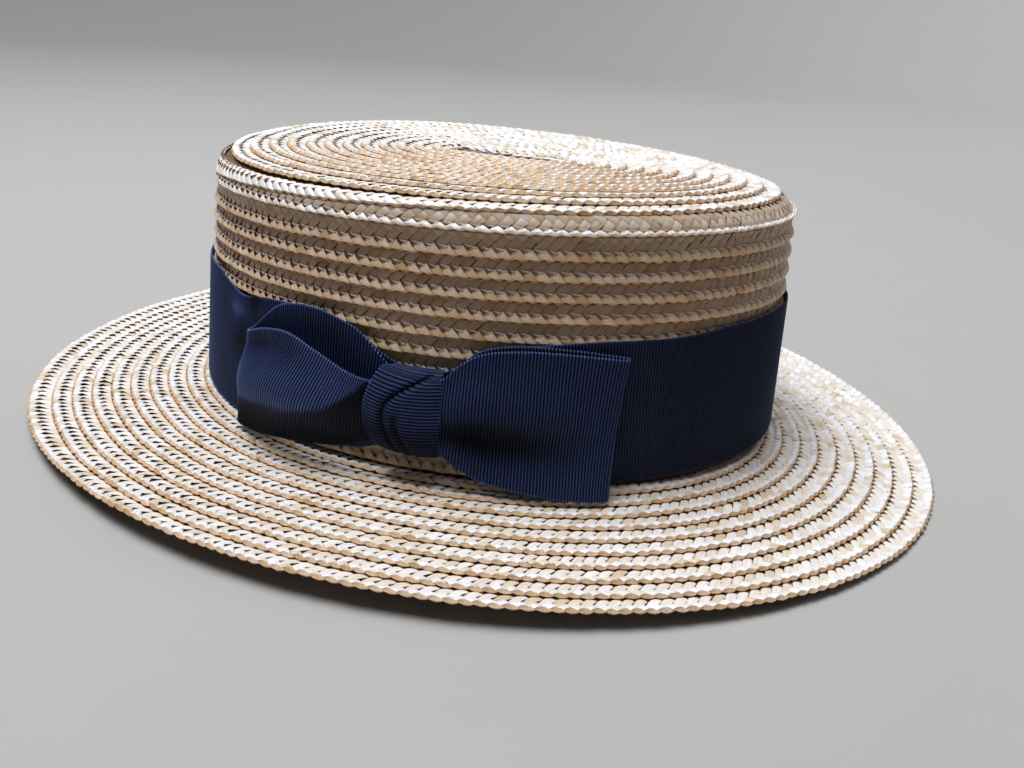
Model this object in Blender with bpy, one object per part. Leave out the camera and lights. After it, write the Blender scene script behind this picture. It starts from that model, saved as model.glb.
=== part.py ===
"""Straw boater hat: crown, brim, ribbon band and flat bow.

Metres, +Z up. The hat stands on its brim at z = 0 with the middle of its outline at the origin.
+X is the front of the hat, and the bow is on its right side, towards -Y.

A place on the crown's wall is given by an angle round it, a height up it and a distance out
from it. A place on the band or the bow has a distance along the crown's foot instead of the
angle, which starts at the middle of the bow side and grows towards the front.
"""

import math

import bmesh
import bpy
from mathutils import Vector

# Straw
STRAW = 0.0020            # thickness of the crown's and the brim's wall
SEAT_GAP = 0.0003         # clearance between pieces that touch

# Crown, outside sizes at its foot
CROWN_HALF_LENGTH = 0.1000
CROWN_HALF_WIDTH = 0.0860
CROWN_EGG = -0.048        # the front half is narrower than an ellipse by this share
CROWN_FOOT = 0.0057       # level from which heights up the crown are measured
WALL_TAPER = 0.043        # the wall leans in by this much for each metre of height
LEAN_FRONT = 0.050        # the wall is taller at the front by this share of its height
LEAN_BOW = 0.017          # and taller on the bow side by this share
SHOULDER_HEIGHT = 0.0705

# Tip
TIP_RISE = 0.0015         # the tip's edge is this much higher at the front
TIP_DIP = 0.00076         # and this much lower between the front and the left side
TIP_SET_BACK = 0.0016     # the tip lies this much back from the middle of the wall
TIP_CORE = 0.016          # half the length of the straight start of the plait's spiral
TIP_REACH = 0.084         # from the crown's foot in to that start

# Shoulder and tip, from the wall inwards: distance in from the foot, height, share of the set-back
TIP_PROFILE = (
    {"inset": 0.0036, "height": 0.0748, "set_back": 0.3},
    {"inset": 0.0052, "height": 0.0776, "set_back": 0.8},
    {"inset": 0.0068, "height": 0.0785, "set_back": 1.0},
    {"inset": 0.0112, "height": 0.0799, "set_back": 1.0},
    {"inset": 0.0168, "height": 0.0808, "set_back": 0.9},
    {"inset": 0.0230, "height": 0.0812, "set_back": 0.8},
    {"inset": 0.0430, "height": 0.0813, "set_back": 0.5},
    {"inset": 0.0640, "height": 0.0813, "set_back": 0.2},
)
TIP_MIDDLE = 0.0813

# Brim
BRIM_WIDTH = 0.0570       # from the crown's foot to the edge
BRIM_LESS_FRONT = 0.0026  # the brim is narrower at the front and wider at the back by this
BRIM_LESS_LEFT = 0.0019   # narrower on the left side and wider on the bow side
BRIM_SKEW = 0.0026        # narrower between the front and the left side
BRIM_ROOT_TOP = 0.0073    # level of the brim's top at the crown, on average
BRIM_ROOT_WAVE = 0.0010   # higher at the sides and lower at the ends by this
BRIM_EDGE_TOP = 0.00415   # level of the brim's top at its edge, on average
BRIM_EDGE_WAVE = 0.00265
EDGE_ROW = 0.0055         # the outermost row lies level

# Ribbon band: its lower and upper edge up the wall
RIBBON = 0.0010           # thickness of the ribbon solids
BAND = (
    {"along": -0.1500, "low": 0.0034, "high": 0.0443},
    {"along": -0.0830, "low": 0.0030, "high": 0.0450},
    {"along": -0.0700, "low": 0.0030, "high": 0.0438},
    {"along": -0.0560, "low": 0.0032, "high": 0.0411},
    {"along": -0.0430, "low": 0.0034, "high": 0.0430},
    {"along": -0.0300, "low": 0.0038, "high": 0.0434},
    {"along": -0.0100, "low": 0.0058, "high": 0.0400},
    {"along": 0.0000, "low": 0.0085, "high": 0.0345},
    {"along": 0.0085, "low": 0.0092, "high": 0.0320},
    {"along": 0.0175, "low": 0.0078, "high": 0.0325},
    {"along": 0.0270, "low": 0.0050, "high": 0.0375},
    {"along": 0.0360, "low": 0.0036, "high": 0.0402},
    {"along": 0.0440, "low": 0.0032, "high": 0.0416},
    {"along": 0.0600, "low": 0.0030, "high": 0.0429},
    {"along": 0.0850, "low": 0.0030, "high": 0.0433},
    {"along": 0.1050, "low": 0.0034, "high": 0.0446},
    {"along": 0.1350, "low": 0.0036, "high": 0.0448},
    {"along": 0.1700, "low": 0.0034, "high": 0.0443},
)

# Left loop: from the knot along the band, round the fold and back along the front.
# Lean is how much further towards the front the ribbon's upper edge is than its lower one,
# ridge how far its middle bulges out, and flare how far its lower edge stands out.
LEFT_LOOP = (
    {"along": -0.0034, "lean": 0.0020, "out": 0.0030, "low": 0.0125, "high": 0.0365,
     "ridge": 0.0000, "flare": 0.0000},
    {"along": -0.0090, "lean": 0.0010, "out": 0.0025, "low": 0.0085, "high": 0.0412,
     "ridge": 0.0000, "flare": 0.0000},
    {"along": -0.0180, "lean": 0.0000, "out": 0.0024, "low": 0.0060, "high": 0.0442,
     "ridge": 0.0000, "flare": 0.0000},
    {"along": -0.0270, "lean": 0.0000, "out": 0.0024, "low": 0.0050, "high": 0.0449,
     "ridge": 0.0000, "flare": 0.0000},
    {"along": -0.0360, "lean": 0.0010, "out": 0.0025, "low": 0.0045, "high": 0.0432,
     "ridge": 0.0000, "flare": 0.0000},
    {"along": -0.0422, "lean": 0.0025, "out": 0.0029, "low": 0.0042, "high": 0.0392,
     "ridge": 0.0000, "flare": 0.0000},
    {"along": -0.0464, "lean": 0.0035, "out": 0.0038, "low": 0.0040, "high": 0.0352,
     "ridge": 0.0004, "flare": 0.0000},
    {"along": -0.0477, "lean": 0.0040, "out": 0.0055, "low": 0.0038, "high": 0.0338,
     "ridge": 0.0010, "flare": 0.0000},
    {"along": -0.0452, "lean": 0.0040, "out": 0.0077, "low": 0.0038, "high": 0.0345,
     "ridge": 0.0020, "flare": 0.0000},
    {"along": -0.0390, "lean": 0.0035, "out": 0.0096, "low": 0.0042, "high": 0.0368,
     "ridge": 0.0030, "flare": 0.0000},
    {"along": -0.0310, "lean": 0.0020, "out": 0.0112, "low": 0.0050, "high": 0.0396,
     "ridge": 0.0034, "flare": 0.0000},
    {"along": -0.0220, "lean": 0.0010, "out": 0.0116, "low": 0.0062, "high": 0.0390,
     "ridge": 0.0030, "flare": 0.0000},
    {"along": -0.0130, "lean": 0.0000, "out": 0.0106, "low": 0.0078, "high": 0.0350,
     "ridge": 0.0022, "flare": 0.0000},
    {"along": -0.0070, "lean": 0.0000, "out": 0.0092, "low": 0.0094, "high": 0.0318,
     "ridge": 0.0014, "flare": 0.0000},
    {"along": -0.0034, "lean": 0.0000, "out": 0.0078, "low": 0.0116, "high": 0.0292,
     "ridge": 0.0006, "flare": 0.0000},
)

# Right loop: the same way round, pressed flat
RIGHT_LOOP = (
    {"along": 0.0192, "lean": 0.0000, "out": 0.0030, "low": 0.0130, "high": 0.0315,
     "ridge": 0.0000, "flare": 0.0000},
    {"along": 0.0250, "lean": 0.0000, "out": 0.0025, "low": 0.0080, "high": 0.0385,
     "ridge": 0.0000, "flare": 0.0020},
    {"along": 0.0330, "lean": 0.0000, "out": 0.0023, "low": 0.0055, "high": 0.0412,
     "ridge": 0.0000, "flare": 0.0040},
    {"along": 0.0430, "lean": 0.0000, "out": 0.0022, "low": 0.0044, "high": 0.0416,
     "ridge": 0.0000, "flare": 0.0052},
    {"along": 0.0530, "lean": 0.0020, "out": 0.0022, "low": 0.0036, "high": 0.0408,
     "ridge": 0.0000, "flare": 0.0062},
    {"along": 0.0610, "lean": 0.0040, "out": 0.0023, "low": 0.0030, "high": 0.0396,
     "ridge": 0.0000, "flare": 0.0072},
    {"along": 0.0642, "lean": 0.0050, "out": 0.0028, "low": 0.0027, "high": 0.0392,
     "ridge": 0.0000, "flare": 0.0076},
    {"along": 0.0649, "lean": 0.0050, "out": 0.0037, "low": 0.0025, "high": 0.0390,
     "ridge": 0.0000, "flare": 0.0078},
    {"along": 0.0632, "lean": 0.0050, "out": 0.0046, "low": 0.0025, "high": 0.0391,
     "ridge": 0.0000, "flare": 0.0079},
    {"along": 0.0570, "lean": 0.0030, "out": 0.0049, "low": 0.0028, "high": 0.0400,
     "ridge": 0.0003, "flare": 0.0078},
    {"along": 0.0470, "lean": 0.0010, "out": 0.0050, "low": 0.0036, "high": 0.0410,
     "ridge": 0.0010, "flare": 0.0072},
    {"along": 0.0370, "lean": 0.0000, "out": 0.0052, "low": 0.0050, "high": 0.0412,
     "ridge": 0.0022, "flare": 0.0060},
    {"along": 0.0280, "lean": 0.0000, "out": 0.0060, "low": 0.0072, "high": 0.0402,
     "ridge": 0.0028, "flare": 0.0038},
    {"along": 0.0225, "lean": 0.0000, "out": 0.0070, "low": 0.0096, "high": 0.0372,
     "ridge": 0.0020, "flare": 0.0016},
    {"along": 0.0192, "lean": 0.0000, "out": 0.0078, "low": 0.0118, "high": 0.0335,
     "ridge": 0.0008, "flare": 0.0000},
)
RIDGE_SHARE = 0.55        # height of the bulge, as a share of the ribbon's width
RIDGE_SPREAD = 0.28
FLARE_POWER = 2.2

# Knot: sections from its left side to its right side
KNOT_BACK = 0.0017
KNOT_FULLNESS = 0.6       # below one, the knot's front is flatter than round
KNOT = (
    {"along": -0.0024, "low": 0.0160, "high": 0.0260, "front": 0.0068},
    {"along": -0.0008, "low": 0.0128, "high": 0.0300, "front": 0.0092},
    {"along": 0.0030, "low": 0.0106, "high": 0.0348, "front": 0.0110},
    {"along": 0.0080, "low": 0.0100, "high": 0.0340, "front": 0.0117},
    {"along": 0.0135, "low": 0.0100, "high": 0.0324, "front": 0.0112},
    {"along": 0.0168, "low": 0.0108, "high": 0.0314, "front": 0.0100},
    {"along": 0.0181, "low": 0.0126, "high": 0.0298, "front": 0.0082},
)

# Crease across the knot's front, from its upper right down to its foot
CREASE = (
    {"along": 0.0140, "height": 0.0345},
    {"along": 0.0075, "height": 0.0290},
    {"along": 0.0040, "height": 0.0220},
    {"along": 0.0062, "height": 0.0160},
    {"along": 0.0088, "height": 0.0100},
)
CREASE_DEPTH = 0.0013
CREASE_HALF_WIDTH = 0.0016

# Fineness of the meshes
ROUND_STEPS = 80
RIBBON_ROWS = 7
LOOP_STEPS = 3            # sections for each row of a loop's table
KNOT_STEPS = 3
KNOT_SIDES = 20
ARC_STEPS = 720
SHARP_ANGLE = 35.0        # degrees


def foot(angle):
    """Point of the crown's foot at an angle, about the crown's middle."""
    x = CROWN_HALF_LENGTH * math.cos(angle)
    y = CROWN_HALF_WIDTH * math.sin(angle) * (1 + CROWN_EGG * math.cos(angle))
    return Vector((x, y, 0.0))


def outward(angle):
    """Level unit vector that points straight out from the crown's foot."""
    step = 0.001
    tangent = foot(angle + step) - foot(angle - step)
    return Vector((tangent.y, -tangent.x, 0.0)).normalized()


def beside(angle, out):
    """Point a level distance straight out from the crown's foot."""
    return foot(angle) + outward(angle) * out


def angles():
    """The angles of the rings' points."""
    return [2 * math.pi * step / ROUND_STEPS for step in range(ROUND_STEPS)]


def brim_width(angle):
    """Width of the brim at an angle round the crown."""
    return (BRIM_WIDTH - BRIM_LESS_FRONT * math.cos(angle) - BRIM_LESS_LEFT * math.sin(angle)
            - BRIM_SKEW * math.sin(2 * angle))


def outline_middle():
    """Middle of the brim's outline, about the crown's middle."""
    edge = [beside(angle, brim_width(angle)) for angle in angles()]
    across = [point.x for point in edge]
    deep = [point.y for point in edge]
    return Vector(((min(across) + max(across)) / 2, (min(deep) + max(deep)) / 2, 0.0))


MIDDLE = outline_middle()


def placed(point, level):
    """A point about the crown's middle, moved to the hat's origin and set at a level."""
    return Vector((point.x - MIDDLE.x, point.y - MIDDLE.y, level))


def wall_point(angle, height, out):
    """Point at a height up the crown's wall, a distance out from it."""
    lean = 1 + LEAN_FRONT * math.cos(angle) - LEAN_BOW * math.sin(angle)
    return placed(beside(angle, out - WALL_TAPER * height), CROWN_FOOT + height * lean)


def tip_point(angle, row, under):
    """Point on a ring of the tip's profile, or a distance under it on the crown's inside."""
    inset = row["inset"] + under
    share = 1 - inset / TIP_REACH
    core = Vector((TIP_CORE * math.tanh(3 * math.cos(angle)), 0.0, 0.0))
    point = foot(angle) * share + core * (1 - share)
    point.x -= TIP_SET_BACK * row["set_back"]
    warp = TIP_RISE * math.cos(angle) - TIP_DIP * math.sin(2 * angle)
    return placed(point, CROWN_FOOT + row["height"] - under + warp * share)


def tip_middle(under):
    """Middle of the tip, or a distance under it."""
    return placed(Vector((0.0, 0.0, 0.0)), CROWN_FOOT + TIP_MIDDLE - under)


def brim_top(angle, out):
    """Level of the brim's top, a distance outside the crown's foot."""
    root = BRIM_ROOT_TOP - BRIM_ROOT_WAVE * math.cos(2 * angle)
    edge = BRIM_EDGE_TOP - BRIM_EDGE_WAVE * math.cos(2 * angle)
    share = min(1.0, max(0.0, out) / (brim_width(angle) - EDGE_ROW))
    return root + (edge - root) * share


def foot_point(angle, out):
    """Point of the crown's lower end, just above the brim."""
    return placed(beside(angle, out), brim_top(angle, 0.0) + SEAT_GAP)


def arc_table():
    """Pairs of distance along the crown's foot and angle, from one side of the back to the other."""
    start = -math.pi / 2
    table = [(0.0, start)]
    for way in (1, -1):
        travelled = 0.0
        before = start
        for step in range(1, ARC_STEPS + 1):
            angle = start + way * math.pi * step / ARC_STEPS
            travelled += way * (foot(angle) - foot(before)).length
            before = angle
            table.append((travelled, angle))
    return sorted(table)


ARCS = arc_table()


def between(value, pairs):
    """Value read from sorted pairs by straight lines between them, held at both ends."""
    if value <= pairs[0][0]:
        return pairs[0][1]
    for (near, first), (far, second) in zip(pairs, pairs[1:]):
        if value <= far:
            return first + (second - first) * (value - near) / (far - near)
    return pairs[-1][1]


def angle_at(along):
    """Angle round the crown at a distance along its foot."""
    return between(along, ARCS)


def along_at(angle):
    """Distance along the crown's foot at an angle."""
    turned = (angle - math.pi / 2) % (2 * math.pi) - 3 * math.pi / 2
    return between(turned, [(known, along) for along, known in ARCS])


def smooth_rows(table, steps):
    """Rows of a table with more of them put in between by a Catmull-Rom curve."""
    rows = []
    last = len(table) - 1
    for place in range(last):
        before = table[max(0, place - 1)]
        start = table[place]
        stop = table[place + 1]
        after = table[min(last, place + 2)]
        for step in range(steps):
            t = step / steps
            row = {}
            for key in start:
                square = 2 * before[key] - 5 * start[key] + 4 * stop[key] - after[key]
                cube = 3 * start[key] - before[key] - 3 * stop[key] + after[key]
                slope = stop[key] - before[key]
                row[key] = start[key] + (slope * t + square * t ** 2 + cube * t ** 3) / 2
            rows.append(row)
    rows.append(dict(table[-1]))
    return rows


def material(name, colour, roughness):
    """Principled material of one colour."""
    made = bpy.data.materials.new(name)
    made.use_nodes = True
    shader = made.node_tree.nodes["Principled BSDF"]
    shader.inputs["Base Color"].default_value = (*colour, 1.0)
    shader.inputs["Roughness"].default_value = roughness
    shader.inputs["Metallic"].default_value = 0.0
    return made


def bridge(solid, first, second):
    """Faces between two rings of vertices, one of which may be a single pole."""
    count = max(len(first), len(second))
    for index in range(count):
        follow = (index + 1) % count
        if len(first) == 1:
            solid.faces.new((first[0], second[index], second[follow]))
        elif len(second) == 1:
            solid.faces.new((first[index], second[0], first[follow]))
        else:
            solid.faces.new((first[index], second[index], second[follow], first[follow]))


def add_solid(name, rings, finish, wrap):
    """Closed solid through rings of points.

    Wrap joins the last ring to the first one. Without it an end ring of several points gets a
    flat cap.
    """
    solid = bmesh.new()
    rows = [[solid.verts.new(point) for point in ring] for ring in rings]
    for first, second in zip(rows, rows[1:]):
        bridge(solid, first, second)
    if wrap:
        bridge(solid, rows[-1], rows[0])
    else:
        for end in (rows[0], rows[-1]):
            if len(end) > 1:
                solid.faces.new(end)
    bmesh.ops.triangulate(solid, faces=solid.faces[:])
    bmesh.ops.recalc_face_normals(solid, faces=solid.faces[:])
    mesh = bpy.data.meshes.new(name)
    solid.to_mesh(mesh)
    solid.free()
    mesh.materials.append(finish)
    mesh.shade_smooth()
    mesh.set_sharp_from_angle(angle=math.radians(SHARP_ANGLE))
    made = bpy.data.objects.new(name, mesh)
    bpy.context.scene.collection.objects.link(made)


def crown_rings():
    """Rings of the crown's cup, from the middle of its tip down its outside and up its inside."""
    levels = [SHOULDER_HEIGHT, SHOULDER_HEIGHT * 2 / 3, SHOULDER_HEIGHT / 3]
    rings = [[tip_middle(0.0)]]
    rings += [[tip_point(angle, row, 0.0) for angle in angles()] for row in reversed(TIP_PROFILE)]
    rings += [[wall_point(angle, height, 0.0) for angle in angles()] for height in levels]
    rings.append([foot_point(angle, 0.0) for angle in angles()])
    rings.append([foot_point(angle, -STRAW) for angle in angles()])
    rings += [[wall_point(angle, height, -STRAW) for angle in angles()] for height in levels[::-1]]
    rings += [[tip_point(angle, row, STRAW) for angle in angles()] for row in TIP_PROFILE[1:]]
    rings.append([tip_middle(STRAW)])
    return rings


def brim_rings():
    """Rings of the brim, out over its top and back under it."""
    top = []
    bottom = []
    for share, level_row in ((0.0, 0), (1 / 3, 0), (2 / 3, 0), (1.0, 0), (1.0, 1)):
        over = []
        under = []
        for angle in angles():
            slope = brim_width(angle) - EDGE_ROW
            out = slope * share + EDGE_ROW * level_row
            if share == 0.0:
                out = -STRAW
            level = brim_top(angle, out)
            over.append(placed(beside(angle, out), level))
            under.append(placed(beside(angle, out), max(0.0, level - STRAW)))
        top.append(over)
        bottom.append(under)
    return top + bottom[::-1]


def band_rings():
    """Rings of the band, up its outer face and down its inner face."""
    rows = smooth_rows(BAND, 4)
    lows = [(row["along"], row["low"]) for row in rows]
    highs = [(row["along"], row["high"]) for row in rows]
    rings = []
    for out, shares in ((SEAT_GAP + RIBBON, (0.0, 0.5, 1.0)), (SEAT_GAP, (1.0, 0.5, 0.0))):
        for share in shares:
            ring = []
            for angle in angles():
                low = between(along_at(angle), lows)
                high = between(along_at(angle), highs)
                ring.append(wall_point(angle, low + (high - low) * share, out))
            rings.append(ring)
    return rings


def loop_point(row, share):
    """Point of a loop's ribbon at a share of its width, from the lower edge up."""
    along = row["along"] + row["lean"] * (share - 0.5)
    height = row["low"] + (row["high"] - row["low"]) * share
    out = row["out"] + row["flare"] * (1 - share) ** FLARE_POWER
    out += row["ridge"] * math.exp(-((share - RIDGE_SHARE) / RIDGE_SPREAD) ** 2)
    return wall_point(angle_at(along), height, out)


def loop_rings(table):
    """Sections of a ribbon loop, each one a thin upright strip."""
    shares = [step / (RIBBON_ROWS - 1) for step in range(RIBBON_ROWS)]
    strips = [[loop_point(row, share) for share in shares] for row in smooth_rows(table, LOOP_STEPS)]
    last = len(strips) - 1
    rings = []
    for place, strip in enumerate(strips):
        before = strips[max(0, place - 1)]
        after = strips[min(last, place + 1)]
        left = []
        right = []
        for start, point, stop in zip(before, strip, after):
            run = stop - start
            across = Vector((run.y, -run.x, 0.0)).normalized() * (RIBBON / 2)
            left.append(point + across)
            right.append(point - across)
        rings.append(left + right[::-1])
    return rings


def crease_dent(along, height):
    """Depth of the crease at a place on the knot's front."""
    course = [(row["height"], row["along"]) for row in reversed(smooth_rows(CREASE, 4))]
    aside = along - between(height, course)
    return CREASE_DEPTH * math.exp(-(aside / CREASE_HALF_WIDTH) ** 2)


def knot_rings():
    """Sections of the knot, each a rounded shape with a flat back towards the band."""
    rings = []
    for row in smooth_rows(KNOT, KNOT_STEPS):
        angle = angle_at(row["along"])
        middle = (row["low"] + row["high"]) / 2
        half = (row["high"] - row["low"]) / 2
        deep = row["front"] - KNOT_BACK
        ring = [wall_point(angle, row["low"], KNOT_BACK)]
        for step in range(1, KNOT_SIDES):
            turn = math.pi * step / KNOT_SIDES - math.pi / 2
            height = middle + half * math.sin(turn)
            swell = math.cos(turn) ** KNOT_FULLNESS
            dent = crease_dent(row["along"], height) * swell
            ring.append(wall_point(angle, height, KNOT_BACK + deep * swell - dent))
        ring.append(wall_point(angle, row["high"], KNOT_BACK))
        rings.append(ring)
    return rings


def build():
    """Clear the scene and model the hat."""
    for old in list(bpy.data.objects):
        bpy.data.objects.remove(old, do_unlink=True)
    straw = material("straw", (0.82, 0.69, 0.50), 0.45)
    ribbon = material("navy_grosgrain", (0.012, 0.016, 0.045), 0.6)
    add_solid("crown", crown_rings(), straw, wrap=False)
    add_solid("brim", brim_rings(), straw, wrap=True)
    add_solid("hat_band", band_rings(), ribbon, wrap=True)
    add_solid("bow_left_loop", loop_rings(LEFT_LOOP), ribbon, wrap=False)
    add_solid("bow_right_loop", loop_rings(RIGHT_LOOP), ribbon, wrap=False)
    add_solid("bow_knot", knot_rings(), ribbon, wrap=False)


build()
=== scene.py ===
"""Looks of the straw boater hat: plaited straw rows, grosgrain ribbon, studio and camera.

Metres, +Z up, in the frame of the CAD part. +X is the front of the hat and the bow is on its
right side, towards -Y. An angle goes round the crown from +X. A distance along the crown's foot
starts at the middle of the bow side and grows towards the front.

The straw is one kind of plait, laid in overlapping rows. A place on a row is the distance along
it, the distance in from its beaded edge, and the height above the surface that it follows.
"""

import math

import bpy
import numpy as np
from mathutils import Matrix, Vector


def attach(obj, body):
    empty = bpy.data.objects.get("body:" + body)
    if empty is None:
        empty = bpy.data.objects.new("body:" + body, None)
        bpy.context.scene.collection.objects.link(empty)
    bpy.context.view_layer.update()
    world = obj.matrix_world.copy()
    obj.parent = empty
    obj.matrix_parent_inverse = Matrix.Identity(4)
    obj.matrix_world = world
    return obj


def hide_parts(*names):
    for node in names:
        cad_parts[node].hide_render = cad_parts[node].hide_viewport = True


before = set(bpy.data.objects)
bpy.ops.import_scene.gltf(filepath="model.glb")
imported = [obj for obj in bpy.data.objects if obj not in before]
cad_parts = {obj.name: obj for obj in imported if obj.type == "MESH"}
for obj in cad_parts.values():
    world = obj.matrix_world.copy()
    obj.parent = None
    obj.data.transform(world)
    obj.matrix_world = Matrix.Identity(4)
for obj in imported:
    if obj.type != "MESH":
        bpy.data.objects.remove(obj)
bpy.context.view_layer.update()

MM = 0.001
SEED = 11


def table_of(columns, *rows):
    """Table with named columns: a dictionary for each row."""
    return [dict(zip(columns.split(), row)) for row in rows]


# Crown and brim, as in the CAD part
CROWN_HALF_LENGTH = 0.1000
CROWN_HALF_WIDTH = 0.0860
CROWN_EGG = -0.048
CROWN_FOOT = 0.0057
WALL_TAPER = 0.043
LEAN_FRONT = 0.050
LEAN_BOW = 0.017
SHOULDER_HEIGHT = 0.0705
TIP_RISE = 0.0015
TIP_DIP = 0.00076
TIP_SET_BACK = 0.0016
TIP_CORE = 0.016
CORE_TURN = 3.0           # how quickly the tip's core rounds its ends
TIP_REACH = 0.084
BRIM_WIDTH = 0.0570
BRIM_LESS_FRONT = 0.0026
BRIM_LESS_LEFT = 0.0019
BRIM_SKEW = 0.0026
BRIM_ROOT_TOP = 0.0073
BRIM_ROOT_WAVE = 0.0010
BRIM_EDGE_TOP = 0.00415
BRIM_EDGE_WAVE = 0.00265
EDGE_ROW = 0.0055
OUTLINE_STEPS = 80        # samples of the brim's outline
WALL_RUN_ON = 0.004       # the wall's line goes on this far above the shoulder
BLEND_START = 0.001       # and begins to turn into the tip this far below it
BLEND_LENGTH = 0.006

# Shoulder and tip in millimetres: distance in from the foot, height, share of the set-back
TIP_PROFILE = table_of(
    "inset  height  set_back",
    ( 3.03,   70.5,      0.0),
    ( 3.70,   74.4,      0.3),
    ( 5.20,   77.5,      0.8),
    ( 6.80,   78.3,      1.0),
    ( 11.2,   79.5,      1.0),
    ( 16.8,   80.6,      0.9),
    ( 23.0,   81.2,      0.8),
    ( 43.0,   81.3,      0.5),
    ( 64.0,   81.3,      0.2),
    ( 84.0,   81.3,      0.0),
)
PROFILE_STEP = 0.0002
PROFILE_BLUR = 5          # samples

# Rows of plait
BEAD = 0.0035             # distance from one bead of the edge to the next
BEAD_SWING = 0.07         # how much that distance varies
SWING_WINDOW = 9          # beads over which it drifts
SWING_GAIN = 2.2
SWING_LIMIT = 1.6
RUN_STEPS = 400           # samples of a run for each radian
ROW_LEVEL = -0.00015      # height of a row's edge over the surface
ROW_SINK = 0.00105        # a row's inner part is lower by this at the next row's edge
SINK_SHARE = 1.2          # and no more than this share of it further in
SHOULDER_LEVEL = 0.9      # the shoulder's row keeps level by this share
LEVEL_FROM = 0.0665       # from this reach up, over this length
LEVEL_LENGTH = 0.004
WALL_PITCH = 0.0057
WALL_ROWS = (0.0414, 0.0470, 0.0526, 0.0582, 0.0637, 0.0705)
BOW_ROWS = (0.0023, 0.0079, 0.0302, 0.0358)    # these show only beside the bow's knot
BOW_ROWS_START = 245.0    # degrees
BOW_ROWS_END = 305.0
TIP_FIRST = 0.0050        # distance in from the crown's foot to the tip's first edge
TIP_SHIFT_FRONT = 0.00166
TIP_SHIFT_LEFT = 0.00035
TIP_PITCH = 0.0058
TIP_ROWS = 13
TURN_START = 50.0         # degrees, between these each row moves over to become the next
TURN_END = 130.0
BRIM_FIRST = 0.0065       # width of the brim's outermost row that shows
BRIM_PITCH = 0.00601
BRIM_ROWS = 10
OUTER_ROWS = 4            # of them in the brim's outer piece
BRIM_DRIFT = 0.00148      # the rows move in by this over a turn, and out again at its end
DRIFT_END = 240.0         # degrees
DRIFT_BLEND = 30.0
BRIM_THICK = 0.0020
FLOOR_GAP = 0.0002

UNDER_REACH = 0.0098      # how far the underside's beads are in from the top's
UNDER_OUTER_ROWS = 5
LEVEL_SINK = 0.00076      # as ROW_SINK, for the brim and the tip
UNDER_SINK = 0.00015      # and for the underside
INSIDE_SINK = 0.0005      # and for the crown's inside
PLAIN_DEPTH = 0.00015     # how deep the straws of the underside and the inside lie
CROWN_THICK = 0.0030      # from the outside's surface to the inside's
INSIDE_REACH = 0.0070     # how far up the inside's beads are from the outside's
INSIDE_LOW_ROWS = (0.0085, 0.0142, 0.0199, 0.0256, 0.0313, 0.0370, 0.0427)

# Layer under the rows in painted shade: how deep it lies, and the reaches of its rings
CORE_THICK = 0.0002
CORE_STEPS = 120
CROWN_CORE_DEPTH = 0.0021
CROWN_CORE_WALL = (0.0, 0.0700, 6)       # from, to and number of rings
CROWN_CORE_TIP = (0.0725, 0.157, 26)
BRIM_CORE_DEPTH = 0.00142
BRIM_CORE_EDGE = 0.0015   # in from the brim's edge
BRIM_CORE_ROOT = 0.0020   # in from the crown's foot
BRIM_CORE_RINGS = 8

# Straws of the plait
WIDE = BEAD / math.sqrt(2)      # a straw's width in the plait
HEART = 0.0036            # distance in from the edge to the middle of the upright straws
BEAD_TOP = -0.00184       # where the beads end and the upright straws begin
LIFT_VARIES = 0.00005     # by how much a straw's height, place along and place across vary
ALONG_VARIES = 0.00010
ACROSS_VARIES = 0.00008
SEAM_REACH = 3.0          # millimetres; a straw's marks tell how near the covering row is, for the painted shade beside it
SHARP_ANGLE = 40.0        # degrees, between faces that do not blend

# A bead from its hidden start over its rounded top to the fold and down the row's edge, heights
# and distances in millimetres: share of the way to the fold, distance in from the edge, height,
# how much lower and further in its sides are, and how far it leans along the row. The first two
# heights are the template's own.
BEAD_ROWS = table_of(
    "share   tail   lift  droop  curl  shift",
    ( 0.00,  None,  None,  0.10, 0.00,  0.00),
    ( 0.17,  None,  None,  0.20, 0.00,  0.00),
    ( 0.40,  None,  0.58,  0.36, 0.00,  0.00),
    ( 0.74,  None,  0.64,  0.60, 0.00,  0.00),
    ( 1.00,  0.58,  0.46,  0.78, 0.00,  0.03),
    ( 1.00, -0.14, -0.46, -0.10, 0.56,  0.12),
    ( 1.00,  0.30, -1.00, -0.50, 0.20,  0.20),
)
BEAD_COLUMNS = (-1.10, -0.60, 0.0, 0.60, 1.06)
DROOP_POWER = 1.7
BEAD_START = -WIDE / 2 - 0.0004       # where beads begin, and the heights of their first rows
BEAD_LIFTS = (-0.90, -0.05)
LEVEL_BEAD_START = -WIDE / 2 - 0.0009
LEVEL_BEAD_LIFTS = (-0.62, 0.34)

# The other straws along their length: distance, height in millimetres and share of the width. On
# the wall the upright ones end where the slants of the far side show, and on level rows they run
# on under the next row.
UPRIGHT_WALL = table_of(
    "              run   lift  wide",
    (BEAD_TOP - 0.0007, -0.95, 0.90),
    (BEAD_TOP + 0.0003, -0.50, 1.00),
    (BEAD_TOP + 0.0024, -0.14, 1.00),
    (    WIDE - 0.0001, -0.28, 0.98),
    (    WIDE + 0.0005, -0.60, 0.90),
)
UPRIGHT_LEVEL = table_of(
    "              run   lift  wide",
    (BEAD_TOP - 0.0007, -0.75, 0.90),
    (BEAD_TOP + 0.0003, -0.40, 1.02),
    (BEAD_TOP + 0.0026,  0.22, 1.00),
    (    WIDE + 0.0006,  0.04, 0.93),
    (    WIDE + 0.0013, -0.26, 0.70),
)
SLANT_WALL = table_of(
    "              run   lift  wide",
    (          -0.0032, -0.40, 1.00),
    (WIDE / 2 - 0.0009, -0.20, 1.00),
    (WIDE / 2 + 0.0005, -0.60, 0.90),
)

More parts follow.
